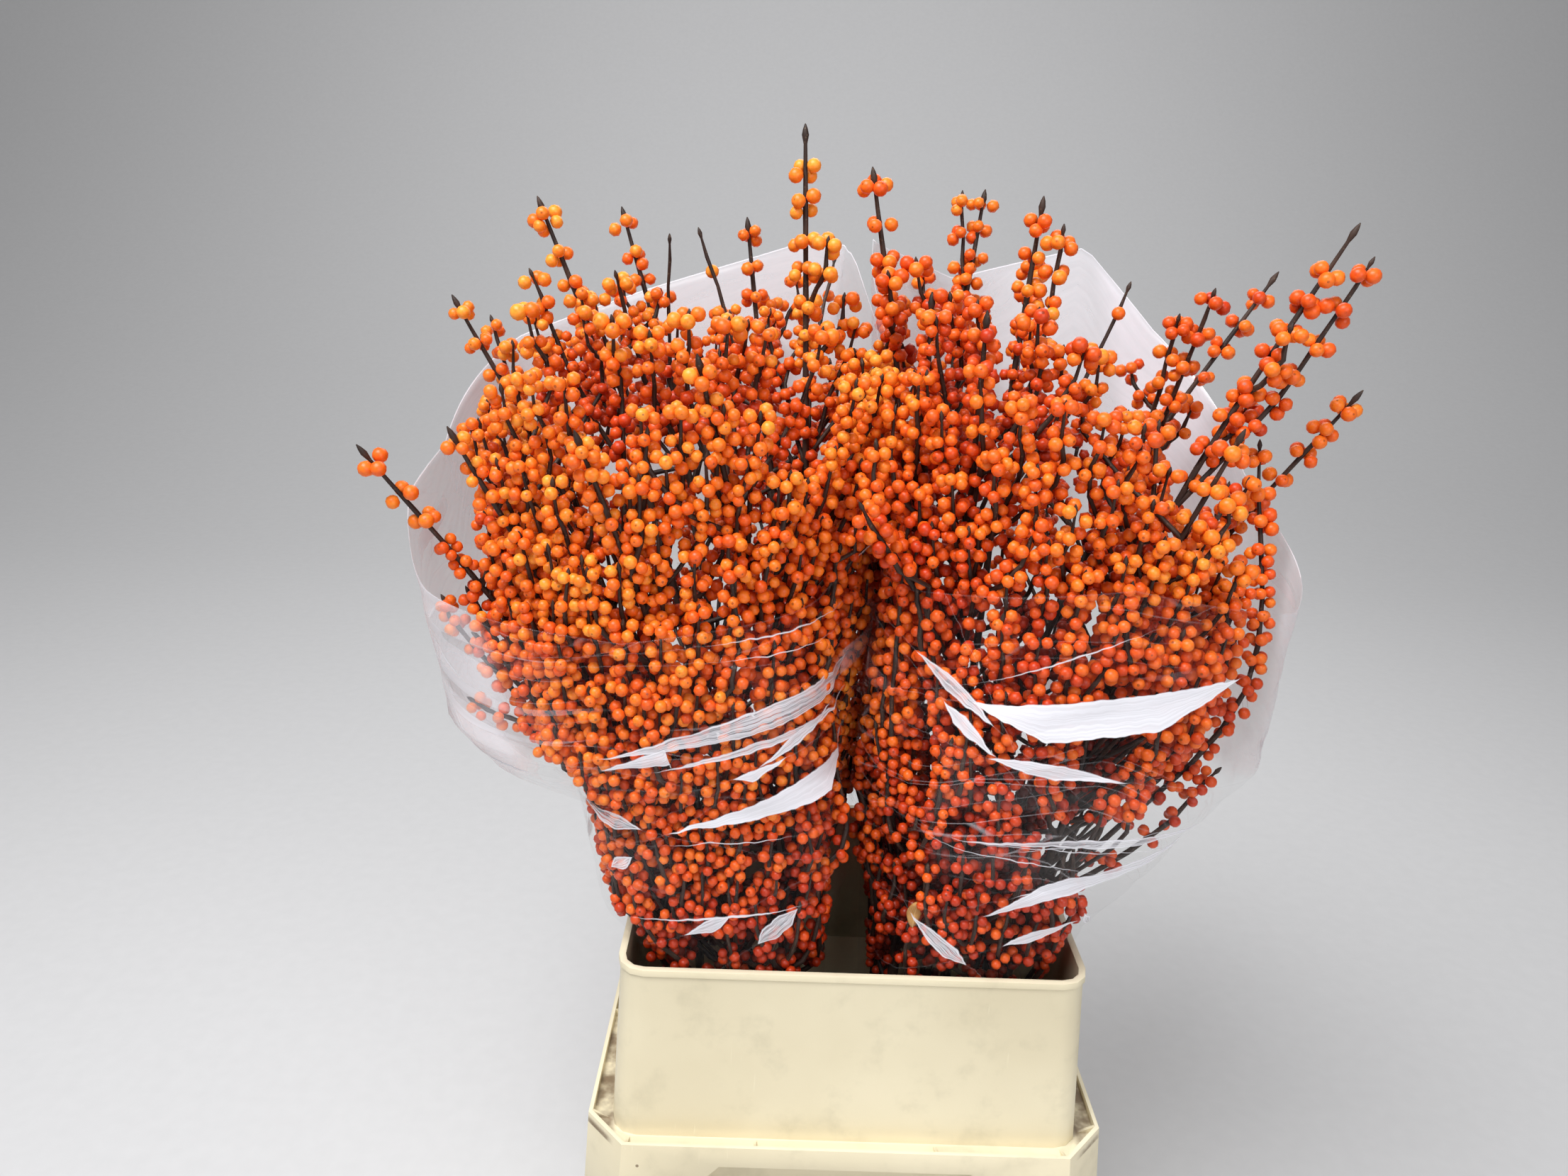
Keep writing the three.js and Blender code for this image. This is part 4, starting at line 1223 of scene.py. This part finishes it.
def shape_film(film, side):
    """Draws an open tube out to its sleeve, and notes how far below the edge each vertex is."""
    below = []
    for vertex in film.data.vertices:
        angle = math.atan2(vertex.co.y, -vertex.co.x)
        share = vertex.co.z + 0.5
        edge = edge_height(side, angle)
        z = FILM_FOOT_Z + (edge - FILM_FOOT_Z) * share**0.8
        section = section_at(FILM_SECTIONS, side, z)
        distance = section_distance(section, angle, 0.3) - wrinkle(side, angle, z, edge)
        x = section[0] + distance * math.cos(angle)
        place = Vector((side * x, distance * math.sin(angle), z))
        vertex.co = (place + contact_sway(place)) * MM
        below.append((edge - z) * MM)
    film.data.attributes.new("below_edge", "FLOAT", "POINT").data.foreach_set("value", below)


class WINTERBERRY_OT_film(bpy.types.Operator):
    """Draw the two clear film sleeves round the bunches, creased and open at the top"""

    bl_idname = "winterberry.film"
    bl_label = "Film Sleeves"

    def execute(self, context):
        settings = context.scene.winterberry_film
        for name, side in (("film_left", -1), ("film_right", 1)):
            start_clean()
            bpy.ops.mesh.primitive_cylinder_add(vertices=120, radius=1, depth=1, end_fill_type="NOTHING")
            film = context.object
            bpy.ops.object.mode_set(mode="EDIT")
            select_edges(film, lambda edge: abs(edge.verts[0].co.z - edge.verts[1].co.z) > 0.5)
            bpy.ops.mesh.subdivide(number_cuts=72)
            bpy.ops.object.mode_set(mode="OBJECT")
            film.data.uv_layers[0].name = "sheet"
            shape_film(film, side)
            make_active(film)
            bpy.ops.object.mode_set(mode="EDIT")
            bpy.ops.mesh.select_all(action="SELECT")
            bpy.ops.mesh.normals_make_consistent(inside=False)
            bpy.ops.object.mode_set(mode="OBJECT")
            thicken(film, settings.thickness)
            film.data.materials.append(film_material(f"clear_{name}", side, settings))
            place_in_frame(film, f"{name}_sheet", (name,))
        return {"FINISHED"}


def ivory_material(settings):
    """Moulded plastic, scuffed and a little dirty, lighter on its ledge and other upward faces as painted
    light, with dirt and painted shade in the channel of its ledge.
    """
    material, shader, point = principled("ivory_plastic")
    x, _, z = split(point)
    broad = noise_mask(point, 7, 3)
    cloudy = noise_mask(point, 34, 4, 0.6)
    upward = split(value_node(point.tree, "ShaderNodeNewGeometry", "Normal"))[2]
    scratch = noise_mask(stretched(point, (520, 520, 26)), 1, 2)
    scratches = ranged(scratch, 0.68, 0.76) * ranged(broad, 0.5, 0.62)
    specks = maths("LESS_THAN", cell_distance(point, 24), 0.03)
    # Dirt and painted shade lie in the channel of the ledge, on the short sides
    channel = ranged(z, 0.2385, 0.2395) * (1 - ranged(z, 0.2405, 0.2445))
    dirt_and_shade = channel * ranged(maths("ABSOLUTE", x), 0.145, 0.152) * ranged(cloudy, 0.34, 0.6)
    plastic = settings.ivory
    for mask, colour in (
        (ranged(broad, 0.35, 0.65), settings.ivory_worn),
        # Painted light: upward faces, the ledge among them, lighter as if lit from above
        (ranged(upward, 0.5, 0.95) * 0.5, settings.rubbed_and_lit_ivory),
        (ranged(cloudy, 0.5, 0.75) * 0.25, settings.grime),
        (scratches * 0.4, settings.rubbed_and_lit_ivory),
        (specks * 0.75, settings.dirt_and_shade),
        (dirt_and_shade * 0.85, settings.dirt_and_shade),
    ):
        plastic = mix_colour(mask, plastic, colour)
    height = noise_mask(point, 900, 2) - scratches * 0.6
    looks = {"Base Color": plastic, "Roughness": cloudy * 0.3 + 0.28, "Normal": bump(height, 0.12, 0.0003)}
    set_inputs(shader, looks)
    return material


def merged_copy(context, node):
    """A copy of a CAD node with its corners merged and its flat faces whole."""
    start_clean()
    source = bpy.data.objects[node]
    copy = bpy.data.objects.new(node, source.data.copy())
    context.collection.objects.link(copy)
    make_active(copy)
    bpy.ops.object.mode_set(mode="EDIT")
    bpy.ops.mesh.select_all(action="SELECT")
    bpy.ops.mesh.remove_doubles(threshold=0.00001)
    bpy.ops.mesh.dissolve_limited(angle_limit=math.radians(0.6))
    bpy.ops.object.mode_set(mode="OBJECT")
    return copy


class WINTERBERRY_OT_container(bpy.types.Operator):
    """Round off the bucket and its collar and give them their worn ivory plastic"""

    bl_idname = "winterberry.container"
    bl_label = "Bucket and Collar"

    def execute(self, context):
        settings = context.scene.winterberry_container
        ivory = ivory_material(settings)
        for node in ("bucket", "collar"):
            body = merged_copy(context, node)
            rounding = body.modifiers.new("rounding", "BEVEL")
            rounding.width = settings.edge_radius
            rounding.segments = 2
            rounding.limit_method = "ANGLE"
            rounding.angle_limit = math.radians(35)
            rounding.use_clamp_overlap = True
            bpy.ops.object.modifier_apply(modifier=rounding.name)
            bpy.ops.object.shade_smooth_by_angle(angle=math.radians(40))
            body.data.materials.clear()
            body.data.materials.append(ivory)
            place_in_frame(body, f"{node}_body", (node,))
        return {"FINISHED"}


class WINTERBERRY_OT_water(bpy.types.Operator):
    """Give the water its clear, faintly green look"""

    bl_idname = "winterberry.water"
    bl_label = "Water"

    def execute(self, context):
        settings = context.scene.winterberry_container
        material, shader, point = principled("flower_water")
        clear, cloudy = Vector(settings.water), Vector(settings.water) * 0.8
        colour = ramp(noise_mask(point, 12, 2), ((0.3, cloudy), (0.7, clear)))
        set_inputs(shader, {"Base Color": colour, "Roughness": 0.04, "IOR": 1.33, "Alpha": 0.6})
        for slot in bpy.data.objects["water"].material_slots:
            slot.material = material
        return {"FINISHED"}


class BranchSettings(bpy.types.PropertyGroup):
    twigs: bpy.props.IntProperty(
        name="Twigs", description="Side twigs on each branch", default=14, min=3, max=50
    )
    spurs: bpy.props.IntProperty(
        name="Spurs", description="Short low twigs on each branch", default=8, min=0, max=20
    )
    twig_shortest: bpy.props.FloatProperty(
        name="Shortest Twig", description="Length of the shortest side twig", default=0.1, unit="LENGTH"
    )
    twig_longest: bpy.props.FloatProperty(
        name="Longest Twig", description="Length of the longest side twig", default=0.18, unit="LENGTH"
    )
    twig_spread: bpy.props.FloatProperty(
        name="Twig Spread", description="How far round a branch its twigs stand, in degrees",
        default=250, min=0, max=360
    )
    cover_step: bpy.props.FloatVectorProperty(
        name="Cover Step", description="Spacing of the outermost twigs, sideways and up", size=2,
        default=(0.0205, 0.042), min=0.01, unit="LENGTH"
    )
    hidden_depth: bpy.props.FloatProperty(
        name="Hidden Depth", description="Berries deeper inside than this get few faces",
        default=0.018, unit="LENGTH"
    )
    empty_depth: bpy.props.FloatProperty(
        name="Empty Depth", description="Depth in the mass below which no berries hang",
        default=0.06, min=0, unit="LENGTH"
    )
    berry_smallest: bpy.props.FloatProperty(
        name="Smallest Berry", description="Diameter of the smallest berry on the tips",
        default=0.0078, unit="LENGTH"
    )
    berry_largest: bpy.props.FloatProperty(
        name="Largest Berry", description="Diameter of the largest berry on the tips",
        default=0.0093, unit="LENGTH"
    )
    # Painted shade: the colour of berries deep inside the mass
    shaded: bpy.props.FloatVectorProperty(
        name="Shaded", description="Colour of the berries deep inside", subtype="COLOR",
        default=(0.13, 0.007, 0.002)
    )
    deep: bpy.props.FloatVectorProperty(
        name="Deep", description="Colour of the ripest berries", subtype="COLOR", default=(0.56, 0.036, 0.004)
    )
    ripe: bpy.props.FloatVectorProperty(
        name="Ripe", description="Colour of most berries", subtype="COLOR", default=(0.84, 0.112, 0.008)
    )
    pale: bpy.props.FloatVectorProperty(
        name="Pale", description="Colour of the paler berries", subtype="COLOR", default=(0.93, 0.21, 0.014)
    )
    palest: bpy.props.FloatVectorProperty(
        name="Palest", description="Colour of the palest berries", subtype="COLOR",
        default=(0.97, 0.35, 0.035)
    )
    calyx: bpy.props.FloatVectorProperty(
        name="Calyx", description="Colour of the small dark end of a berry", subtype="COLOR",
        default=(0.06, 0.016, 0.008)
    )
    leaf_size: bpy.props.FloatVectorProperty(
        name="Leaf Size", description="Width and length of the withered leaf", size=2,
        default=(0.009, 0.019), unit="LENGTH"
    )
    leaf: bpy.props.FloatVectorProperty(
        name="Leaf", description="Colour of the withered leaf", subtype="COLOR", default=(0.62, 0.34, 0.1)
    )
    leaf_dark: bpy.props.FloatVectorProperty(
        name="Dark Leaf", description="Colour of the leaf's blotches", subtype="COLOR",
        default=(0.33, 0.14, 0.035)
    )
    leaf_rib: bpy.props.FloatVectorProperty(
        name="Leaf Rib", description="Colour of the leaf's midrib and veins", subtype="COLOR",
        default=(0.74, 0.5, 0.22)
    )
    bark_dark: bpy.props.FloatVectorProperty(
        name="Dark Bark", description="Colour of the bark in its dark patches", subtype="COLOR",
        default=(0.014, 0.006, 0.004)
    )
    bark_light: bpy.props.FloatVectorProperty(
        name="Light Bark", description="Colour of the bark in its light patches", subtype="COLOR",
        default=(0.06, 0.027, 0.015)
    )


class FilmSettings(bpy.types.PropertyGroup):
    flat_size: bpy.props.FloatVectorProperty(
        name="Flat Size", description="Width and length of each sleeve's sheet", size=2,
        default=(0.93, 0.69), unit="LENGTH"
    )
    thickness: bpy.props.FloatProperty(
        name="Thickness", description="Thickness of the film", default=0.0003, precision=5, unit="LENGTH"
    )
    crackle: bpy.props.FloatProperty(
        name="Crackle", description="How far the film's facets tilt from its smooth shape",
        default=0.45, min=0, max=2
    )
    shine: bpy.props.FloatProperty(
        name="Shine", description="How strongly the film mirrors the room",
        default=0.025, min=0, max=1, subtype="FACTOR"
    )
    haze: bpy.props.FloatProperty(
        name="Haze", description="How milky the film is everywhere",
        default=0.001, min=0, max=1, subtype="FACTOR"
    )
    # Painted sheen and milky film on the outward sides
    side_veil_and_sheen: bpy.props.FloatProperty(
        name="Side Veil", description="How milky the outward sides are",
        default=0.2, min=0, max=1, subtype="FACTOR"
    )
    # Painted sheen and milky film on the high back
    back_veil_and_sheen: bpy.props.FloatProperty(
        name="Back Veil", description="How milky the high back is",
        default=0.28, min=0, max=1, subtype="FACTOR"
    )
    # Colour of the milky folds and of the painted glints and sheen on the film
    tint: bpy.props.FloatVectorProperty(
        name="Tint", description="Colour of the milky folds", subtype="COLOR", default=(0.9, 0.9, 0.96)
    )


class ContainerSettings(bpy.types.PropertyGroup):
    edge_radius: bpy.props.FloatProperty(
        name="Edge Radius", description="Rounding of the moulded edges",
        default=0.0006, precision=4, unit="LENGTH"
    )
    ivory: bpy.props.FloatVectorProperty(
        name="Ivory", description="Colour of the plastic", subtype="COLOR", default=(0.79, 0.71, 0.51)
    )
    ivory_worn: bpy.props.FloatVectorProperty(
        name="Worn Ivory", description="Colour of the plastic where it is dull", subtype="COLOR",
        default=(0.71, 0.63, 0.44)
    )
    # Lighter ivory: rubbed edges, and painted light on upward faces
    rubbed_and_lit_ivory: bpy.props.FloatVectorProperty(
        name="Bright Ivory", description="Colour of rubbed edges and of the ledge", subtype="COLOR",
        default=(0.9, 0.84, 0.64)
    )
    grime: bpy.props.FloatVectorProperty(
        name="Grime", description="Colour of the faint stains", subtype="COLOR", default=(0.42, 0.38, 0.26)
    )
    # Colour of the dirt specks, and of the dirt and painted shade in the channel
    dirt_and_shade: bpy.props.FloatVectorProperty(
        name="Dirt", description="Colour of the dirt in the channel and of the specks", subtype="COLOR",
        default=(0.12, 0.06, 0.02)
    )
    water: bpy.props.FloatVectorProperty(
        name="Water", description="Colour of the water", subtype="COLOR", default=(0.3, 0.36, 0.27)
    )


class StageSettings(bpy.types.PropertyGroup):
    floor: bpy.props.FloatVectorProperty(
        name="Floor", description="Colour of the floor and backdrop", subtype="COLOR",
        default=(0.66, 0.66, 0.67)
    )
    key: bpy.props.FloatProperty(
        name="Key Light", description="Power of the main soft light", default=50, min=0, unit="POWER"
    )
    fill: bpy.props.FloatProperty(
        name="Fill Light", description="Power of the soft light from the other side",
        default=13, min=0, unit="POWER"
    )
    backdrop_light: bpy.props.FloatProperty(
        name="Backdrop Light", description="Power of the light on the backdrop",
        default=60, min=0, unit="POWER"
    )
    room_light: bpy.props.FloatProperty(
        name="Room Light", description="Strength of the even light from all round", default=0.26, min=0
    )


# The camera: place in metres, and its turn from looking level along +Y, in radians
CAMERA_PLACE = Vector((-0.0544, -0.7027, 0.7876))
CAMERA_PITCH = 0.2977
CAMERA_YAW = -0.0053
CAMERA_ROLL = 0.0361
CAMERA_LENS = 26.04


def add_camera(context):
    """The camera that took the photo, as fitted to the collar."""
    start_clean()
    bpy.ops.object.camera_add(location=CAMERA_PLACE)
    camera = context.object
    forward = Vector(
        (
            -math.sin(CAMERA_YAW) * math.cos(CAMERA_PITCH),
            math.cos(CAMERA_YAW) * math.cos(CAMERA_PITCH),
            -math.sin(CAMERA_PITCH),
        )
    )
    right = Vector((math.cos(CAMERA_YAW), math.sin(CAMERA_YAW), 0))
    up = right.cross(forward)
    turned_right = right * math.cos(CAMERA_ROLL) + up * math.sin(CAMERA_ROLL)
    turned_up = up * math.cos(CAMERA_ROLL) - right * math.sin(CAMERA_ROLL)
    turn = Matrix((turned_right, turned_up, -forward)).transposed().to_4x4()
    camera.matrix_world = Matrix.Translation(CAMERA_PLACE) @ turn
    camera.data.lens = CAMERA_LENS
    camera.data.sensor_width = 36
    context.scene.camera = camera


def add_soft_light(name, place, target, size, power):
    """A rectangular light, turned to its target."""
    start_clean()
    bpy.ops.object.light_add(type="AREA", location=place)
    light = bpy.context.object
    light.name = name
    light.rotation_euler = (Vector(target) - Vector(place)).to_track_quat("-Z", "Y").to_euler()
    light.data.shape = "RECTANGLE"
    light.data.size, light.data.size_y = size
    light.data.energy = power


def on_back_edge(point):
    """Whether a point of the floor is on the edge from which the backdrop rises."""
    return point.y > 5.9 and point.z < 0.1


class WINTERBERRY_OT_stage(bpy.types.Operator):
    """Lay the pale floor and backdrop, and set the camera and the soft lights"""

    bl_idname = "winterberry.stage"
    bl_label = "Stage"

    def execute(self, context):
        settings = context.scene.winterberry_stage
        start_clean()
        bpy.ops.mesh.primitive_plane_add(size=12, location=(0, 0, 0))
        floor = context.object
        bpy.ops.object.mode_set(mode="EDIT")
        bpy.ops.mesh.select_mode(type="EDGE")
        select_edges(floor, lambda edge: all(on_back_edge(vertex.co) for vertex in edge.verts))
        bpy.ops.mesh.extrude_region_move(TRANSFORM_OT_translate={"value": (0, 0, 7)})
        select_edges(floor, lambda edge: all(on_back_edge(vertex.co) for vertex in edge.verts))
        bpy.ops.mesh.bevel(offset=4, segments=24, affect="EDGES")
        bpy.ops.mesh.select_mode(type="VERT")
        bpy.ops.object.mode_set(mode="OBJECT")
        bpy.ops.object.shade_smooth()
        floor.name = "backdrop"
        material, shader, point = principled("backdrop_paper")
        low, high = Vector(settings.floor) * 0.97, Vector(settings.floor)
        paper = ramp(noise_mask(point, 60, 4), ((0.3, low), (0.7, high)))
        set_inputs(shader, {"Base Color": paper, "Roughness": 0.9})
        floor.data.materials.append(material)
        add_camera(context)
        add_soft_light("key", (-0.7, -0.8, 2.2), (0, 0, 0.6), (1.3, 0.9), settings.key)
        add_soft_light("fill", (0.7, -1.7, 1.1), (0, 0, 0.4), (1.2, 1.2), settings.fill)
        add_soft_light("back", (0.3, 1.5, 2.0), (0, 0, 0.6), (1.6, 0.8), settings.fill)
        add_soft_light("backdrop_light", (0, 2.2, 3.4), (0, 6, 0.9), (4.0, 1.0), settings.backdrop_light)
        world = bpy.data.worlds.new("soft_room")
        world.use_nodes = True
        room = world.node_tree.nodes["Background"]
        set_inputs(room, {"Color": (1, 1, 1), "Strength": settings.room_light})
        context.scene.world = world
        context.scene.cycles.transparent_max_bounces = 24
        context.scene.view_settings.view_transform = "Standard"
        return {"FINISHED"}


class WINTERBERRY_PT_panel(bpy.types.Panel):
    """The settings and steps of the winterberry part"""

    bl_label = "Winterberry"
    bl_idname = "WINTERBERRY_PT_panel"
    bl_space_type = "VIEW_3D"
    bl_region_type = "UI"
    bl_category = "Winterberry"

    def draw(self, context):
        for group, kind in GROUPS.items():
            box = self.layout.box()
            for key in kind.__annotations__:
                box.prop(getattr(context.scene, group), key)
        for step in STEPS:
            self.layout.operator(step.bl_idname)


STEPS = (
    WINTERBERRY_OT_wood,
    WINTERBERRY_OT_berries,
    WINTERBERRY_OT_leaf,
    WINTERBERRY_OT_film,
    WINTERBERRY_OT_container,
    WINTERBERRY_OT_water,
    WINTERBERRY_OT_stage,
)
GROUPS = {
    "winterberry_branches": BranchSettings,
    "winterberry_film": FilmSettings,
    "winterberry_container": ContainerSettings,
    "winterberry_stage": StageSettings,
}


def register():
    for group, kind in GROUPS.items():
        bpy.utils.register_class(kind)
        setattr(bpy.types.Scene, group, bpy.props.PointerProperty(type=kind))
    for kind in (*STEPS, WINTERBERRY_PT_panel):
        bpy.utils.register_class(kind)


def unregister():
    for kind in (WINTERBERRY_PT_panel, *reversed(STEPS)):
        bpy.utils.unregister_class(kind)
    for group, kind in GROUPS.items():
        delattr(bpy.types.Scene, group)
        bpy.utils.unregister_class(kind)


def main():
    register()
    for step in STEPS:
        family, name = step.bl_idname.split(".")
        getattr(getattr(bpy.ops, family), name)()


if __name__ == "__main__":
    main()
